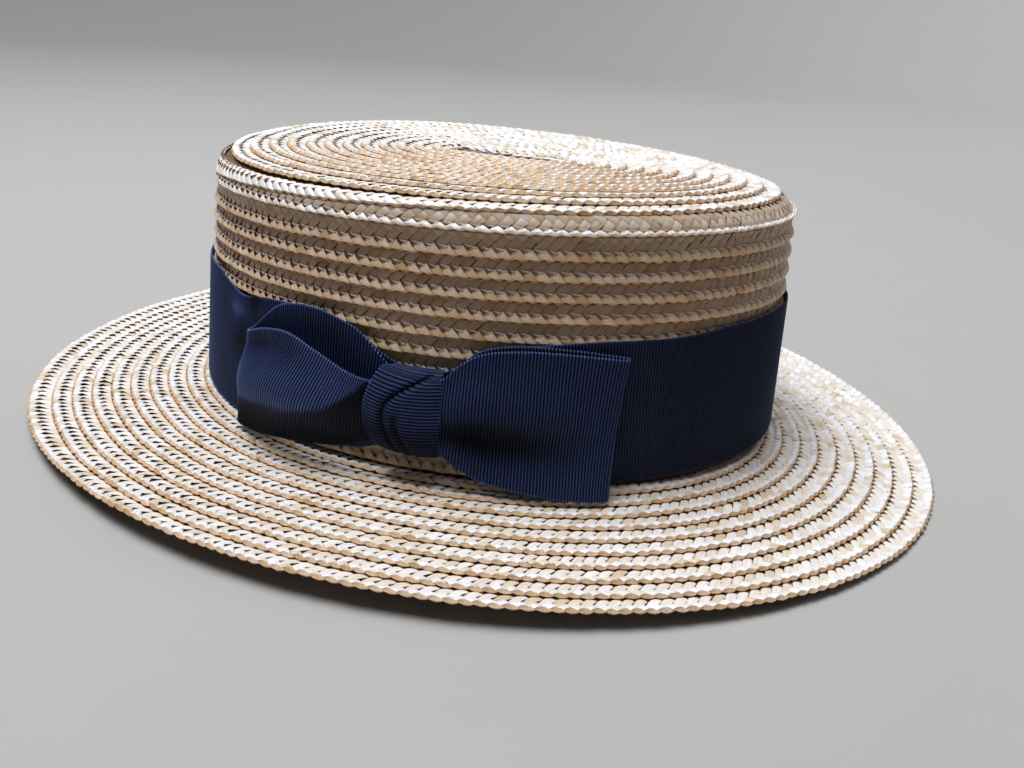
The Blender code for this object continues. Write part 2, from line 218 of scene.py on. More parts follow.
# Across a straw: place as a share of half its width, and height in millimetres
UPRIGHT_COLUMNS = table_of("across rise", (-1.0, -0.13), (-0.45, 0.0), (0.45, 0.03), (1.0, -0.10))
SLANT_COLUMNS = table_of("across rise", (-1.0, -0.14), (-0.45, 0.0), (0.45, 0.0), (1.0, -0.14))

# Straw colours: of single straws, and of the painted shade where they bend under and beside the row
# that covers them
STRAW_TONES = ((0.0, (0.68, 0.54, 0.38)), (0.12, (0.82, 0.73, 0.61)), (0.45, (0.87, 0.83, 0.78)),
               (0.8, (0.91, 0.89, 0.88)), (1.0, (0.96, 0.96, 0.98)))
STRAW_BEND_SHADES = ((0.0, (0.20, 0.08, 0.025)), (0.4, (0.90, 0.61, 0.35)), (0.8, (1.0, 0.95, 0.89)),
               (1.0, (1.0, 1.0, 1.0)))
SEAM_SHADES = ((0.0, (0.38, 0.24, 0.15)), (0.5, (0.78, 0.68, 0.60)), (1.0, (1.0, 1.0, 1.0)))

# Sewing thread
THREAD_RADIUS = 0.00013
THREAD_INSET = 0.0027     # from the row's edge
THREAD_LIFT = 0.00030     # height of a stitch's middle
THREAD_DIVE = 0.0009      # its ends are lower by this
THREAD_SLANT = 0.00022
THREAD_STRAY = 0.00012    # by how much its place and its height vary
THREAD_WAVE = 0.00005
STITCH_SHARE = 0.42       # half its length, as a share of a bead's gap
STITCH_VARIES = 0.05
STITCH_SHIFT = 0.1
THREAD_RINGS = 5
THREAD_SIDES = 4

# Ribbon
RIBBON = 0.00045          # thickness
RIBBON_WIDTH = 0.040
RIB = 0.00092             # distance from one rib to the next
RIB_RELIEF = 0.00013
RIB_COLUMNS = (-1.0, 0.0, 1.0, 0.0)
PICOT = 0.00028           # the ends of the ribs stand this far past the edge
PICOT_HIGHLIGHT = 0.45         # and carry a painted highlight
EDGE_STRIP = 0.014        # width of the strip at each edge, as a share
EDGE_THIN = 0.55          # share of the thickness at the very edge
ARC_STEPS = 720
TONE_LIMITS = (0.1, 1.6)
BAND_ROWS = 11            # grid rows across the band
BAND_STEPS = 1440
BAND_OUT = 0.0009         # from the wall to the middle of the band's thickness
BAND_MIDDLE = 0.022       # height at which its length is measured
BAND_TONE = 0.92
BAND_DARKER = 0.28        # painted shade: loss of tone towards the front, over these millimetres of the foot
BAND_DARKENS = (40.0, 60.0)              # start and length
BAND_CLEARS = (290.0, 90.0)              # end and length

# Lower and upper edge of the band up the wall, in millimetres
BAND = table_of(
    " along  low  high",
    (-150.0, 3.4, 44.3),
    ( -83.0, 3.0, 45.0),
    ( -70.0, 3.0, 43.8),
    ( -56.0, 3.2, 41.1),
    ( -43.0, 3.4, 43.0),
    ( -30.0, 3.8, 43.4),
    ( -10.0, 5.8, 40.0),
    (   0.0, 8.5, 34.5),
    (   8.5, 9.2, 32.0),
    (  17.5, 7.8, 32.5),
    (  27.0, 5.0, 37.5),
    (  36.0, 3.6, 40.2),
    (  44.0, 3.2, 41.6),
    (  60.0, 3.0, 42.9),
    (  85.0, 3.0, 43.3),
    ( 105.0, 3.4, 44.6),
    ( 135.0, 3.6, 44.8),
    ( 170.0, 3.4, 44.3),
)

# Pucker of the band above the left loop's fold, in millimetres: a fold with a painted sheen, the
# dip by it and a patch below in painted shade
PUCKER = table_of(
    "along  height  wide  tall   out   tone",
    (-58.5,   36.0,  4.5,  4.0,  0.7,  0.60),
    (-49.5,   40.5,  3.0,  3.0, -0.2, -0.85),
    (-57.0,   27.0,  5.0,  6.0,  0.0, -0.45),
)

# Loops, in millimetres: from the knot along the band, round the fold and back along the front.
# Lean is how much further towards the front the upper edge is, ridge how far the middle bulges
# out, flare how far the lower edge stands out, hollow how deep a dent lies beside the ridge, and
# shade the share of the width that turns away from the light.
LEFT_LOOP = table_of(
    "along  lean   out   low  high  ridge  flare  hollow  shade",
    (  3.0,  2.0,  3.2, 14.5, 31.0,   0.0,   0.0,    0.0,   0.0),
    ( -3.4,  2.0,  3.0, 12.5, 36.5,   0.0,   0.0,    0.0,   0.0),
    ( -9.0,  1.0,  2.5,  8.5, 41.2,   0.0,   0.0,    0.0,   0.0),
    (-18.0,  0.0,  2.4,  6.0, 44.2,   0.0,   0.0,    0.0,   0.0),
    (-27.0,  0.0,  2.4,  5.0, 44.9,   0.0,   0.0,    0.0,   0.0),
    (-36.0,  1.0,  2.5,  4.5, 43.2,   0.0,   0.0,    0.0,   0.0),
    (-42.2,  2.5,  2.9,  4.2, 39.2,   0.0,   0.0,    0.0,   0.0),
    (-46.4,  3.5,  3.8,  4.0, 35.2,   0.4,   0.0,    0.0,   0.0),
    (-47.7,  4.0,  5.5,  3.8, 33.8,   1.0,   0.0,    0.3,   0.2),
    (-45.2,  5.0,  7.7,  3.8, 34.7,   2.0,  -0.8,    1.2,  0.28),
    (-39.0,  8.0,  9.6,  4.0, 37.7,   3.2,  -2.2,    2.4,  0.30),
    (-31.0, 12.0, 11.2,  4.5, 39.4,   4.0,  -3.6,    1.6,  0.32),
    (-22.0, 12.0, 11.6,  5.5, 36.6,   3.8,  -4.4,    0.4,  0.36),
    (-13.0,  9.0, 10.6,  7.0, 32.6,   2.8,  -3.8,    0.0,  0.52),
    ( -7.0,  5.0,  9.2,  8.7, 30.5,   1.6,  -2.4,    0.0,  0.78),
    ( -3.0,  1.0,  7.8, 11.2, 29.6,   0.6,  -1.0,    0.0,  0.95),
    (  2.5,  0.0,  6.4, 13.5, 28.2,   0.0,   0.0,    0.0,   1.0),
)
RIGHT_LOOP = table_of(
    "along  lean  out   low  high  ridge  flare  hollow  shade",
    ( 14.0,  0.0, 3.2, 15.0, 28.0,   0.0,   0.0,    0.0,   0.0),
    ( 19.2,  0.0, 3.0, 13.0, 31.5,   0.0,   0.0,    0.0,   0.0),
    ( 25.0,  0.0, 2.5,  8.0, 38.5,   0.0,   2.0,    0.0,   0.0),
    ( 33.0,  0.0, 2.3,  5.5, 41.2,   0.0,   4.0,    0.0,   0.0),
    ( 43.0,  0.0, 2.2,  4.4, 41.6,   0.0,   5.2,    0.0,   0.0),
    ( 53.0,  2.0, 2.2,  3.6, 40.8,   0.0,   6.2,    0.0,   0.0),
    ( 61.0,  4.0, 2.3,  3.0, 39.6,   0.0,   7.2,    0.0,   0.0),
    ( 64.2,  5.0, 2.8,  2.7, 39.2,   0.0,   7.6,    0.0,   0.0),
    ( 64.9,  5.0, 3.7,  2.5, 39.0,   0.0,   7.8,    0.0,   0.0),
    ( 63.2,  5.0, 4.6,  2.5, 39.1,   0.0,   7.9,    0.0,   0.0),
    ( 57.0,  3.0, 4.9,  2.8, 40.0,   0.4,   7.8,    0.5,   0.0),
    ( 47.0,  1.0, 5.0,  3.6, 41.0,   1.4,   7.2,    1.6,   0.0),
    ( 37.0,  0.0, 5.2,  5.0, 41.2,   2.6,   6.2,    2.8,   0.0),
    ( 28.0,  0.0, 6.0,  7.2, 40.2,   3.6,   4.6,    3.6,   0.0),
    ( 22.5,  0.0, 7.0,  9.6, 37.2,   3.0,   2.6,    3.2,   0.0),
    ( 18.5,  0.0, 7.7, 11.9, 33.2,   1.4,   0.6,    1.6,   0.0),
    ( 14.0,  0.0, 6.8, 13.5, 30.0,   0.0,   0.0,    0.0,   0.0),
)
LOOP_ROWS = 21
LOOP_STEPS = 1500
RIDGE_SHARE = 0.55
RIDGE_SPREAD = 0.28
HOLLOW_SPREAD = 0.13
HOLLOW_SHADE = 0.21       # loss of tone for each millimetre of the dent
HOLLOW_WIDER = 1.3        # how much wider than the dent that shade is
LIT_TONE = 0.30           # tone that a bulge gains, in full from this share turned away
LIT_SHARE = 0.3
SHADE_TONE = 0.42         # tone of the part turned away, in full from this share
SHADE_SHARE = 0.2
SHADE_BLEND = 0.08        # share of the width over which the shade begins
LOWEST_SHADE = 0.40          # painted shade of the lowest part, below this share of the width
EDGE_SHARE = 0.20
LEFT_HOLLOW = 0.84        # height of the dent, as a share of the ribbon's width
RIGHT_HOLLOW = 0.33
FLARE_POWER = 2.2

# Knot, in millimetres, from below round its front to above: where its left and right edge are,
# how far it stands out and its height up the wall
KNOT = table_of(
    "height  left  right   out",
    (  14.0,  4.0,  17.0,  1.9),
    (  11.4,  2.4,  17.2,  3.6),
    (  10.3,  1.2,  17.4,  6.2),
    (  10.9,  0.4,  17.6,  8.6),
    (  13.6, -0.9,  17.9, 10.6),
    (  18.0, -2.1,  18.1, 11.5),
    (  22.5, -2.4,  18.1, 11.6),
    (  27.0, -1.5,  17.9, 11.0),
    (  30.6,  0.2,  17.7,  9.6),
    (  32.9,  1.9,  17.5,  7.4),
    (  33.7,  3.2,  17.3,  5.0),
    (  33.2,  4.2,  17.1,  2.9),
    (  31.0,  5.2,  17.0,  1.9),
)
KNOT_ROWS = 45
KNOT_STEPS = 900
KNOT_SPINE = 0.8          # share across it at which its length is measured
KNOT_BACK = 1.9           # how far out its ends lie
KNOT_SIDES = 0.22         # share by which its sides lie flatter
KNOT_ROUND = 2.5
KNOT_FRONT = (5.0, 4.0)   # where its front begins, by how far it stands out, and the blend's length
# Above 1, the knot's tone gives it a slight painted sheen all over
KNOT_TONE = 1.08
KNOT_LOW = (15.0, 8.0)    # painted shade on it below this height, over this length
KNOT_LOW_SHADE = 0.5
KNOT_TONE_LIMITS = (0.15, 1.6)

# Crease down the knot's front: height in millimetres and place across it as a share
CREASE = table_of(
    "height  place",
    (   9.0,  0.50),
    (  13.0,  0.42),
    (  18.0,  0.30),
    (  23.0,  0.27),
    (  27.0,  0.34),
    (  30.5,  0.58),
    (  33.0,  0.85),
)
CREASE_BLUR = 81          # samples
CREASE_DEPTH = 1.5        # millimetres
CREASE_SPREAD = 0.055
CREASE_STEP = 0.9         # how much further the side to the front stands out
STEP_FADE = 9             # and over how many spreads that fades
CREASE_SHADE = 0.75
LOBE_RISE = 2.5           # how much the ribs of the other side rise, for the whole width
TUCK_PLACE = 0.17         # a shallower tuck beside the crease, across the knot
TUCK_DEPTH = 0.9
TUCK_SHADE = 0.6
TUCK_TOP = 25.0
TUCK_END = 4              # millimetres over which it ends

# Ribbon colours: of the ribs from their grooves up, with painted shade in the grooves, and of their
# tone, which carries painted light and shade
RIB_TONES = ((0.35, (0.0030, 0.0056, 0.0210)), (1.0, (0.0460, 0.0680, 0.1650)))
RIB_SHADE_TINTS = ((0.0, (0.08, 0.07, 0.06)), (0.5, (0.42, 0.33, 0.21)), (1.0, (1.0, 1.0, 1.0)))

# Camera and studio: angles in radians, the target from the crown's foot
CAMERA_AZIMUTH = 0.31446
CAMERA_ELEVATION = 0.3731
CAMERA_ROLL = 0.084065
CAMERA_DISTANCE = 0.36393
CAMERA_TARGET = (0.00933, 0.0, -0.0006)
FOCAL_PIXELS = 1002.3
IMAGE_WIDTH = 1024
SENSOR = 36.0
LIGHTS = table_of(
    "name place target size power colour",
    ("key", (-0.30, -0.07, 1.45), (0, 0, 0.05), (1.1, 0.9), 24.5, (0.91, 0.95, 1.0)),
    ("graze", (-0.34, -0.16, 1.45), (0, 0, 0.05), (0.3, 0.2), 3.5, (0.95, 0.97, 1.0)),
    ("rim", (-1.5, 1.2, 0.95), (0, 0, 0.05), (1.2, 0.7), 3.4, (0.90, 0.95, 1.0)),
    ("wash", (0.6, 1.2, 1.6), (0.9, 2.4, 0.2), (1.2, 0.5), 22.0, (0.95, 0.97, 1.0)),
)
WORLD_COLOUR = (1.0, 0.82, 0.64, 1.0)
WORLD_STRENGTH = 0.08


def smooth_step(value):
    """Smooth rise from 0 to 1."""
    t = np.clip(value, 0.0, 1.0)
    return t * t * (3 - 2 * t)


# Surfaces

def foot(angle):
    """Plan of the crown's foot about the crown's middle."""
    return np.stack([CROWN_HALF_LENGTH * np.cos(angle),
                     CROWN_HALF_WIDTH * np.sin(angle) * (1 + CROWN_EGG * np.cos(angle))], -1)


def outward(angle):
    """Level unit vector straight out from the crown's foot."""
    along_x = -CROWN_HALF_LENGTH * np.sin(angle)
    along_y = CROWN_HALF_WIDTH * (np.cos(angle) + CROWN_EGG * np.cos(2 * angle))
    normal = np.stack([along_y, -along_x], -1)
    return normal / np.linalg.norm(normal, axis=-1, keepdims=True)


def brim_width(angle):
    """Width of the brim."""
    return (BRIM_WIDTH - BRIM_LESS_FRONT * np.cos(angle) - BRIM_LESS_LEFT * np.sin(angle)
            - BRIM_SKEW * np.sin(2 * angle))


def outline_middle():
    """Middle of the brim's outline about the crown's middle."""
    angle = np.arange(OUTLINE_STEPS) * 2 * math.pi / OUTLINE_STEPS
    edge = foot(angle) + outward(angle) * brim_width(angle)[:, None]
    return (edge.min(0) + edge.max(0)) / 2


MIDDLE = outline_middle()


def placed(plan, level):
    """Points about the crown's middle, moved to the hat's origin and set at a level."""
    return np.concatenate([plan - MIDDLE, np.asarray(level)[..., None]], -1)


def wall_point(angle, height, out):
    """Points at a height up the crown's wall, a distance out from it."""
    angle, height, out = np.broadcast_arrays(angle, height, out)
    lean = 1 + LEAN_FRONT * np.cos(angle) - LEAN_BOW * np.sin(angle)
    plan = foot(angle) + outward(angle) * (out - WALL_TAPER * height)[..., None]
    return placed(plan, CROWN_FOOT + height * lean)


def tip_point(angle, inset, height, set_back):
    """Points of the tip, a distance in from the foot."""
    share = 1 - inset / TIP_REACH
    plan = foot(angle) * share[..., None]
    core = TIP_CORE * np.tanh(CORE_TURN * np.cos(angle)) * (1 - share)
    plan[..., 0] += core - TIP_SET_BACK * set_back
    warp = TIP_RISE * np.cos(angle) - TIP_DIP * np.sin(2 * angle)
    return placed(plan, CROWN_FOOT + height + warp * share)


def profile_tables():
    """Reach up the wall and over the tip, with the inset, height and set-back there."""
    names = ("inset", "height")
    rows = np.array([[row[name] * MM for name in names] + [row["set_back"]] for row in TIP_PROFILE])
    reach = np.concatenate([[0.0], np.cumsum(np.hypot(*np.diff(rows[:, :2], axis=0).T))])
    fine = np.arange(0.0, reach[-1], PROFILE_STEP)
    made = [np.interp(fine, reach, rows[:, column]) for column in range(3)]
    kernel = np.ones(PROFILE_BLUR) / PROFILE_BLUR
    pad = PROFILE_BLUR // 2
    for column in range(3):
        longer = np.pad(made[column], pad, mode="reflect", reflect_type="odd")
        made[column] = np.convolve(longer, kernel, mode="valid")
    return fine + SHOULDER_HEIGHT, *made


REACHES, INSETS, HEIGHTS, SET_BACKS = profile_tables()


def crown_surface(angle, reach):
    """Points of the crown's outside at a reach up its wall and on over its tip."""
    angle, reach = np.broadcast_arrays(angle, reach)
    on_wall = wall_point(angle, np.minimum(reach, SHOULDER_HEIGHT + WALL_RUN_ON), 0.0)
    on_tip = tip_point(angle, *(np.interp(reach, REACHES, values)
                                for values in (INSETS, HEIGHTS, SET_BACKS)))
    blend = smooth_step((reach - SHOULDER_HEIGHT + BLEND_START) / BLEND_LENGTH)[..., None]
    return on_wall * (1 - blend) + on_tip * blend


def brim_surface(angle, out):
    """Points of the brim's top, a distance out from the crown's foot."""
    angle, out = np.broadcast_arrays(angle, out)
    root = BRIM_ROOT_TOP - BRIM_ROOT_WAVE * np.cos(2 * angle)
    edge = BRIM_EDGE_TOP - BRIM_EDGE_WAVE * np.cos(2 * angle)
    share = np.clip(out / (brim_width(angle) - EDGE_ROW), 0.0, 1.0)
    return placed(foot(angle) + outward(angle) * out[..., None], root + (edge - root) * share)


def brim_under(angle, out):
    """Points of the brim's underside."""
    point = brim_surface(angle, out)
    point[..., 2] -= BRIM_THICK
    return point


def surface_normal(surface, angle, reach, way):
    """Unit normals of a surface. Way 1 is the crown's outside or the brim's underside."""
    step = 1e-4
    round_it = surface(angle + step * 10, reach) - surface(angle - step * 10, reach)
    up_it = surface(angle, reach + step) - surface(angle, reach - step)
    normal = np.cross(round_it, up_it) * way
    return normal / np.linalg.norm(normal, axis=-1, keepdims=True)


# Courses of plait

def line_lengths(line):
    """Distances along a line of points at each of them."""
    return np.concatenate([[0.0], np.cumsum(np.linalg.norm(np.diff(line, axis=0), axis=-1))])


def bead_places(length, random):
    """Distances along a run at which its beads sit, a little uneven, and the gap at each."""
    spare = 6
    rough = random.normal(size=max(3, int(round(length / BEAD))) + 2 * spare)
    window = np.hanning(SWING_WINDOW)
    smooth = np.convolve(rough, window / window.sum() * SWING_GAIN, mode="same")[spare:-spare]
    gaps = 1 + BEAD_SWING * np.clip(smooth, -SWING_LIMIT, SWING_LIMIT)
    gaps *= length / gaps.sum()
    return np.cumsum(gaps) - gaps / 2, gaps


class Course:
    """A run of plait on a surface: its beaded edge, and the way from that edge to the inner one."""

    def __init__(self, surface, edge, start, stop, inward, pitch, random):
        """Edge gives the reach at an angle, from start to stop in degrees, and inward is 1 where
        the straws run on to a greater reach and -1 where to a smaller one."""
        self.surface = surface
        self.edge = edge
        self.inward = inward
        self.pitch = pitch
        self.cover = lambda angle: np.full_like(angle, pitch)    # how far in the next row's edge is
        self.stretched = False    # whether the straws reach as far as that
        self.levelled = 0.0       # 1 where the row over the shoulder keeps level
        self.sink = ROW_SINK
        start, stop = math.radians(start), math.radians(stop)
        self.angles = np.linspace(start, stop, int(abs(stop - start) * RUN_STEPS) + 2)
        self.lengths = line_lengths(surface(self.angles, edge(self.angles)))
        self.beads = bead_places(self.lengths[-1], random)

    def point(self, along, across, lift):
        """Points at distances along the run and in from its edge, and heights above it."""
        angle = np.interp(along, self.lengths, self.angles)
        slope = (self.angles[1] - self.angles[0]) / (self.lengths[1] - self.lengths[0])
        angle = angle + slope * (np.minimum(along, 0.0) + np.maximum(along - self.lengths[-1], 0.0))
        reach = self.edge(angle) + self.inward * across
        base = self.surface(angle, reach)
        normal = surface_normal(self.surface, angle, reach, self.inward)
        over = smooth_step((reach - LEVEL_FROM) / LEVEL_LENGTH)
        level = 1 - SHOULDER_LEVEL * over * self.levelled
        sink = ROW_LEVEL - self.sink * np.minimum(across / self.pitch, SINK_SHARE) * level
        return base + normal * (lift + sink)[..., None]


def tip_edge(level, angle):
    """Reach to a row's edge on the tip."""
    fade = 1 - level / (TIP_ROWS + 1)
    inset = (TIP_FIRST + TIP_PITCH * level
             + (TIP_SHIFT_FRONT * np.cos(angle) + TIP_SHIFT_LEFT * np.sin(angle)) * fade)
    return np.interp(inset, INSETS, REACHES)


def crown_edge(level, angle):
    """Reach to the edge of the crown's row at a level: 0 is the tip's first, -1 the shoulder's."""
    below = np.interp(level, np.arange(-len(WALL_ROWS), 0), WALL_ROWS)
    above = tip_edge(np.maximum(level, 0.0), angle)
    share = np.clip(level + 1, 0.0, 1.0)
    return below * (1 - share) + above * share


def spiral_level(angle, first):
    """Level of a continuous spiral that moves over by one row between the turn's two angles."""
    turns = (angle - math.radians(TURN_END)) / (2 * math.pi)
    whole = np.floor(turns)
    span = (TURN_END - TURN_START) / 360.0
    moved = smooth_step((turns - whole - (1 - span)) / span)
    return first + whole + moved


def brim_offset(row, angle):
    """Distance of a row's edge in from the brim's edge."""
    turn = (np.degrees(angle) - DRIFT_END) % 360.0
    share = turn / 360.0 - 0.5
    near = np.minimum(turn, 360.0 - turn) / (DRIFT_BLEND / 2)
    share = share * smooth_step(near)
    first = BRIM_FIRST + (row - 1) * BRIM_PITCH + BRIM_DRIFT * share
    return first * (row > 0)


# Straws

def across_plait(first, second):
    """Plan from the two slanting directions of the straws."""
    return (first + second) / math.sqrt(2), HEART + (first - second) / math.sqrt(2)


def bead_template(start, lifts):
    """Grid of a bead: rows from its hidden top over the edge and down, columns left to right.
    Start is how far up it begins, and lifts are the heights of its first rows."""
    rows = []
    for place, line in enumerate(BEAD_ROWS):
        row = []
        for across in BEAD_COLUMNS:
            first = BEAD_TOP - WIDE / 2 + across * WIDE / 2
            fold = first + HEART * math.sqrt(2)
            bent = abs(across) ** DROOP_POWER
            x, y = across_plait(first, start + (fold - start) * line["share"])
            if line["tail"] is not None:
                y = (line["tail"] + line["curl"] * bent) * MM
            lift = lifts[place] if place < len(lifts) else line["lift"]
            lift -= line["droop"] * bent
            row.append((x + line["shift"] * MM, y, lift * MM))
        rows.append(row)
    return np.array(rows)


def straw_template(lines, columns, plan):
    """Grid of a straw: rows along it, columns across. Plan places a point by these two ways."""
    return np.array([[(*plan(line["run"], column["across"] * WIDE / 2 * line["wide"]),
                       (line["lift"] + column["rise"]) * MM) for column in columns]
                     for line in lines])


def slant_plan(run, over):
    """Plan on a straw of the far side, which leans the other way and is half hidden."""
    return across_plait(1.5 * WIDE + over, run)


def grid_faces(rows, columns):
    """Faces of one closed pillow: a grid on top, strips below and a cap at each end.
    A triangle's last corner is given twice."""
    index = np.arange(rows * columns).reshape(rows, columns)
    faces = []
    for r in range(rows - 1):
        for c in range(columns - 1):
            faces.append((index[r, c], index[r, c + 1], index[r + 1, c + 1], index[r + 1, c]))
        faces.append((index[r, 0], index[r + 1, 0], index[r + 1, -1], index[r, -1]))
    for end, way in ((index[0], -1), (index[-1], 1)):
        for c in range((columns - 1) // 2):
            corners = [end[c], end[c + 1], end[columns - 2 - c], end[columns - 1 - c]]
            if corners[1] == corners[2]:
                del corners[2]
            corners = corners[::way]
            faces.append(corners + corners[-1:] * (4 - len(corners)))
    return np.array(faces)


def thinned(grid, rows, columns):
    """Grid with only some of its rows and columns, and flat behind."""
    thin = grid[np.ix_(rows, columns)].copy()
    thin[..., 2] = np.maximum(thin[..., 2], -PLAIN_DEPTH)
    return thin


TEMPLATES = {"bead": bead_template(BEAD_START, BEAD_LIFTS),
             "upright": straw_template(UPRIGHT_WALL, UPRIGHT_COLUMNS, across_plait),
             "slant": straw_template(SLANT_WALL, SLANT_COLUMNS, slant_plan)}
LEVEL_TEMPLATES = {"bead": bead_template(LEVEL_BEAD_START, LEVEL_BEAD_LIFTS),
                   "upright": straw_template(UPRIGHT_LEVEL, UPRIGHT_COLUMNS, across_plait)}
PLAIN_TEMPLATES = {"bead": thinned(TEMPLATES["bead"], [0, 3, 5], [0, 2, 4]),
                   "upright": thinned(TEMPLATES["upright"], [0, 2, 4], [0, 1, 3])}


def lay_straws(course, kind, random, templates):
    """Points, faces and marks of all straws of one kind along a course. Marks are the place along
    and across a straw, its own random number with 1 added for beads, and how far in millimetres
    the covering row is."""
    grid = templates[kind]
    rows, columns = grid.shape[:2]
    places, gaps = course.beads
    count = len(places)
    local = np.broadcast_to(grid, (count, rows, columns, 3)).copy()
    local[..., 0] *= (gaps / BEAD)[:, None, None]
    run = np.linspace(-1, 1, rows)[None, :, None]
    over = np.linspace(-1, 1, columns)[None, None, :]

    def vary(size):
        return random.normal(size=count)[:, None, None] * size

    local[..., 2] += vary(LIFT_VARIES) + vary(LIFT_VARIES) * over + vary(LIFT_VARIES) * run
    local[..., 0] += vary(ALONG_VARIES) + vary(ALONG_VARIES) * run
    local[..., 1] += vary(ACROSS_VARIES)
    along = places[:, None, None] + local[..., 0]
    angle = np.interp(along, course.lengths, course.angles)
    if course.stretched:
        local[..., 1] *= np.where(local[..., 1] > 0, course.cover(angle) / course.pitch, 1.0)
    points = course.point(along.ravel(), local[..., 1].ravel(), local[..., 2].ravel())
    faces = grid_faces(rows, columns)[None] + (np.arange(count) * rows * columns)[:, None, None]
    marks = np.empty((count, rows, columns, 4))
    marks[..., 0] = run * 0.5 + 0.5
    marks[..., 1] = over * 0.5 + 0.5
    marks[..., 2] = random.random(count)[:, None, None] + (kind == "bead")
    beside = (course.cover(angle) - local[..., 1]) / MM
    marks[..., 3] = np.clip(beside, -SEAM_REACH, SEAM_REACH)
    return points, faces.reshape(-1, 4), marks.reshape(-1, 4)


def joined(parts):
    """One set of points, faces and marks from several."""
    points, faces, marks = [], [], []
    count = 0
    for part_points, part_faces, part_marks in parts:
        points.append(part_points)
        faces.append(part_faces + count)
        marks.append(part_marks)
        count += len(part_points)
    return np.concatenate(points), np.concatenate(faces), np.concatenate(marks)


def add_mesh(name, points, faces, marks, finish, sharp=SHARP_ANGLE):
    """Object from arrays of points and faces, kept off the floor. A triangle's last corner is
    given twice."""
    points[:, 2] = np.maximum(points[:, 2], FLOOR_GAP)
    sides = np.where(faces[:, 2] == faces[:, 3], 3, 4)
    corners = faces[np.arange(4)[None] < sides[:, None]]
    mesh = bpy.data.meshes.new(name)
    mesh.vertices.add(len(points))
    mesh.vertices.foreach_set("co", np.ascontiguousarray(points, dtype=np.float32).ravel())
    mesh.loops.add(len(corners))
    mesh.loops.foreach_set("vertex_index", np.ascontiguousarray(corners, dtype=np.int32))
    mesh.polygons.add(len(faces))
    mesh.polygons.foreach_set("loop_start", (np.cumsum(sides) - sides).astype(np.int32))
    mesh.update(calc_edges=True)
    mesh.validate()
    if marks is not None:
        layer = mesh.attributes.new("fibre", "FLOAT_VECTOR", "POINT")
        layer.data.foreach_set("vector", np.ascontiguousarray(marks[:, :3], np.float32).ravel())
        layer = mesh.attributes.new("shade", "FLOAT", "POINT")
        layer.data.foreach_set("value", np.ascontiguousarray(marks[:, 3], np.float32))
    mesh.materials.append(finish)
    mesh.shade_smooth()
    if sharp:
        mesh.set_sharp_from_angle(angle=math.radians(sharp))
    made = bpy.data.objects.new(name, mesh)
    bpy.context.scene.collection.objects.link(made)
    return made


# Materials

class Finish:
    """A material and its nodes. A value for a socket is a number or colour, or an output."""

    def __init__(self, name):
        self.material = bpy.data.materials.new(name)
        self.material.use_nodes = True
        self.tree = self.material.node_tree
        self.shader = self.tree.nodes["Principled BSDF"]

    def fill(self, node, values):
        """Give sockets of a node their values."""
        for socket, value in values.items():
            if isinstance(value, bpy.types.NodeSocket):
                self.tree.links.new(value, node.inputs[socket])
            else:
                node.inputs[socket].default_value = value

    def add(self, kind, values, output=0, **settings):
        """Output of a new node with some settings of its own."""
        node = self.tree.nodes.new("ShaderNode" + kind)
        for name, value in settings.items():
            setattr(node, name, value)
        self.fill(node, values)
        return node.outputs[output]

    def maths(self, operation, *values):
        """Result of an operation on numbers."""
        return self.add("Math", dict(enumerate(values)), operation=operation)

    def rise(self, value, start, stop, low, high):
        """Smooth rise from low to high as a value goes from start to stop."""
        return self.add("MapRange", {"Value": value, "From Min": start, "From Max": stop,
                                     "To Min": low, "To Max": high},
                        "Result", interpolation_type="SMOOTHSTEP")

    def ramp(self, value, stops):
        """Colour from a ramp through places and colours."""
        made = self.add("ValToRGB", {"Fac": value}, "Color")
        elements = made.node.color_ramp.elements
        while len(elements) < len(stops):
            elements.new(0.5)
        for element, (place, colour) in zip(elements, stops):
            element.position = place
            element.color = (*colour, 1.0)
        return made

    def noise(self, vector, scale, detail):
        """Noise at places scaled by three numbers."""
        scaled = self.add("VectorMath", {0: vector, 1: scale}, operation="MULTIPLY")
        return self.add("TexNoise", {"Scale": 1.0, "Detail": detail, "Vector": scaled}, "Fac")

    def times(self, first, second):
        """Product of two colours."""
        return self.add("VectorMath", {0: first, 1: second}, operation="MULTIPLY")

    def scaled(self, colour, factor):
        """Colour times a factor."""
        return self.add("VectorMath", {0: colour, "Scale": factor}, operation="SCALE")

    def mark(self, name, output):
        """A mark that the mesh carries."""
        return self.add("Attribute", {}, output, attribute_name=name)

    def finished(self, height, strength, distance, values):
        """The material, with a bump by a height and values for the shader's sockets."""
        bump = self.add("Bump", {"Strength": strength, "Distance": distance, "Height": height},
                        "Normal")
        self.fill(self.shader, {**values, "Normal": bump})
        return self.material


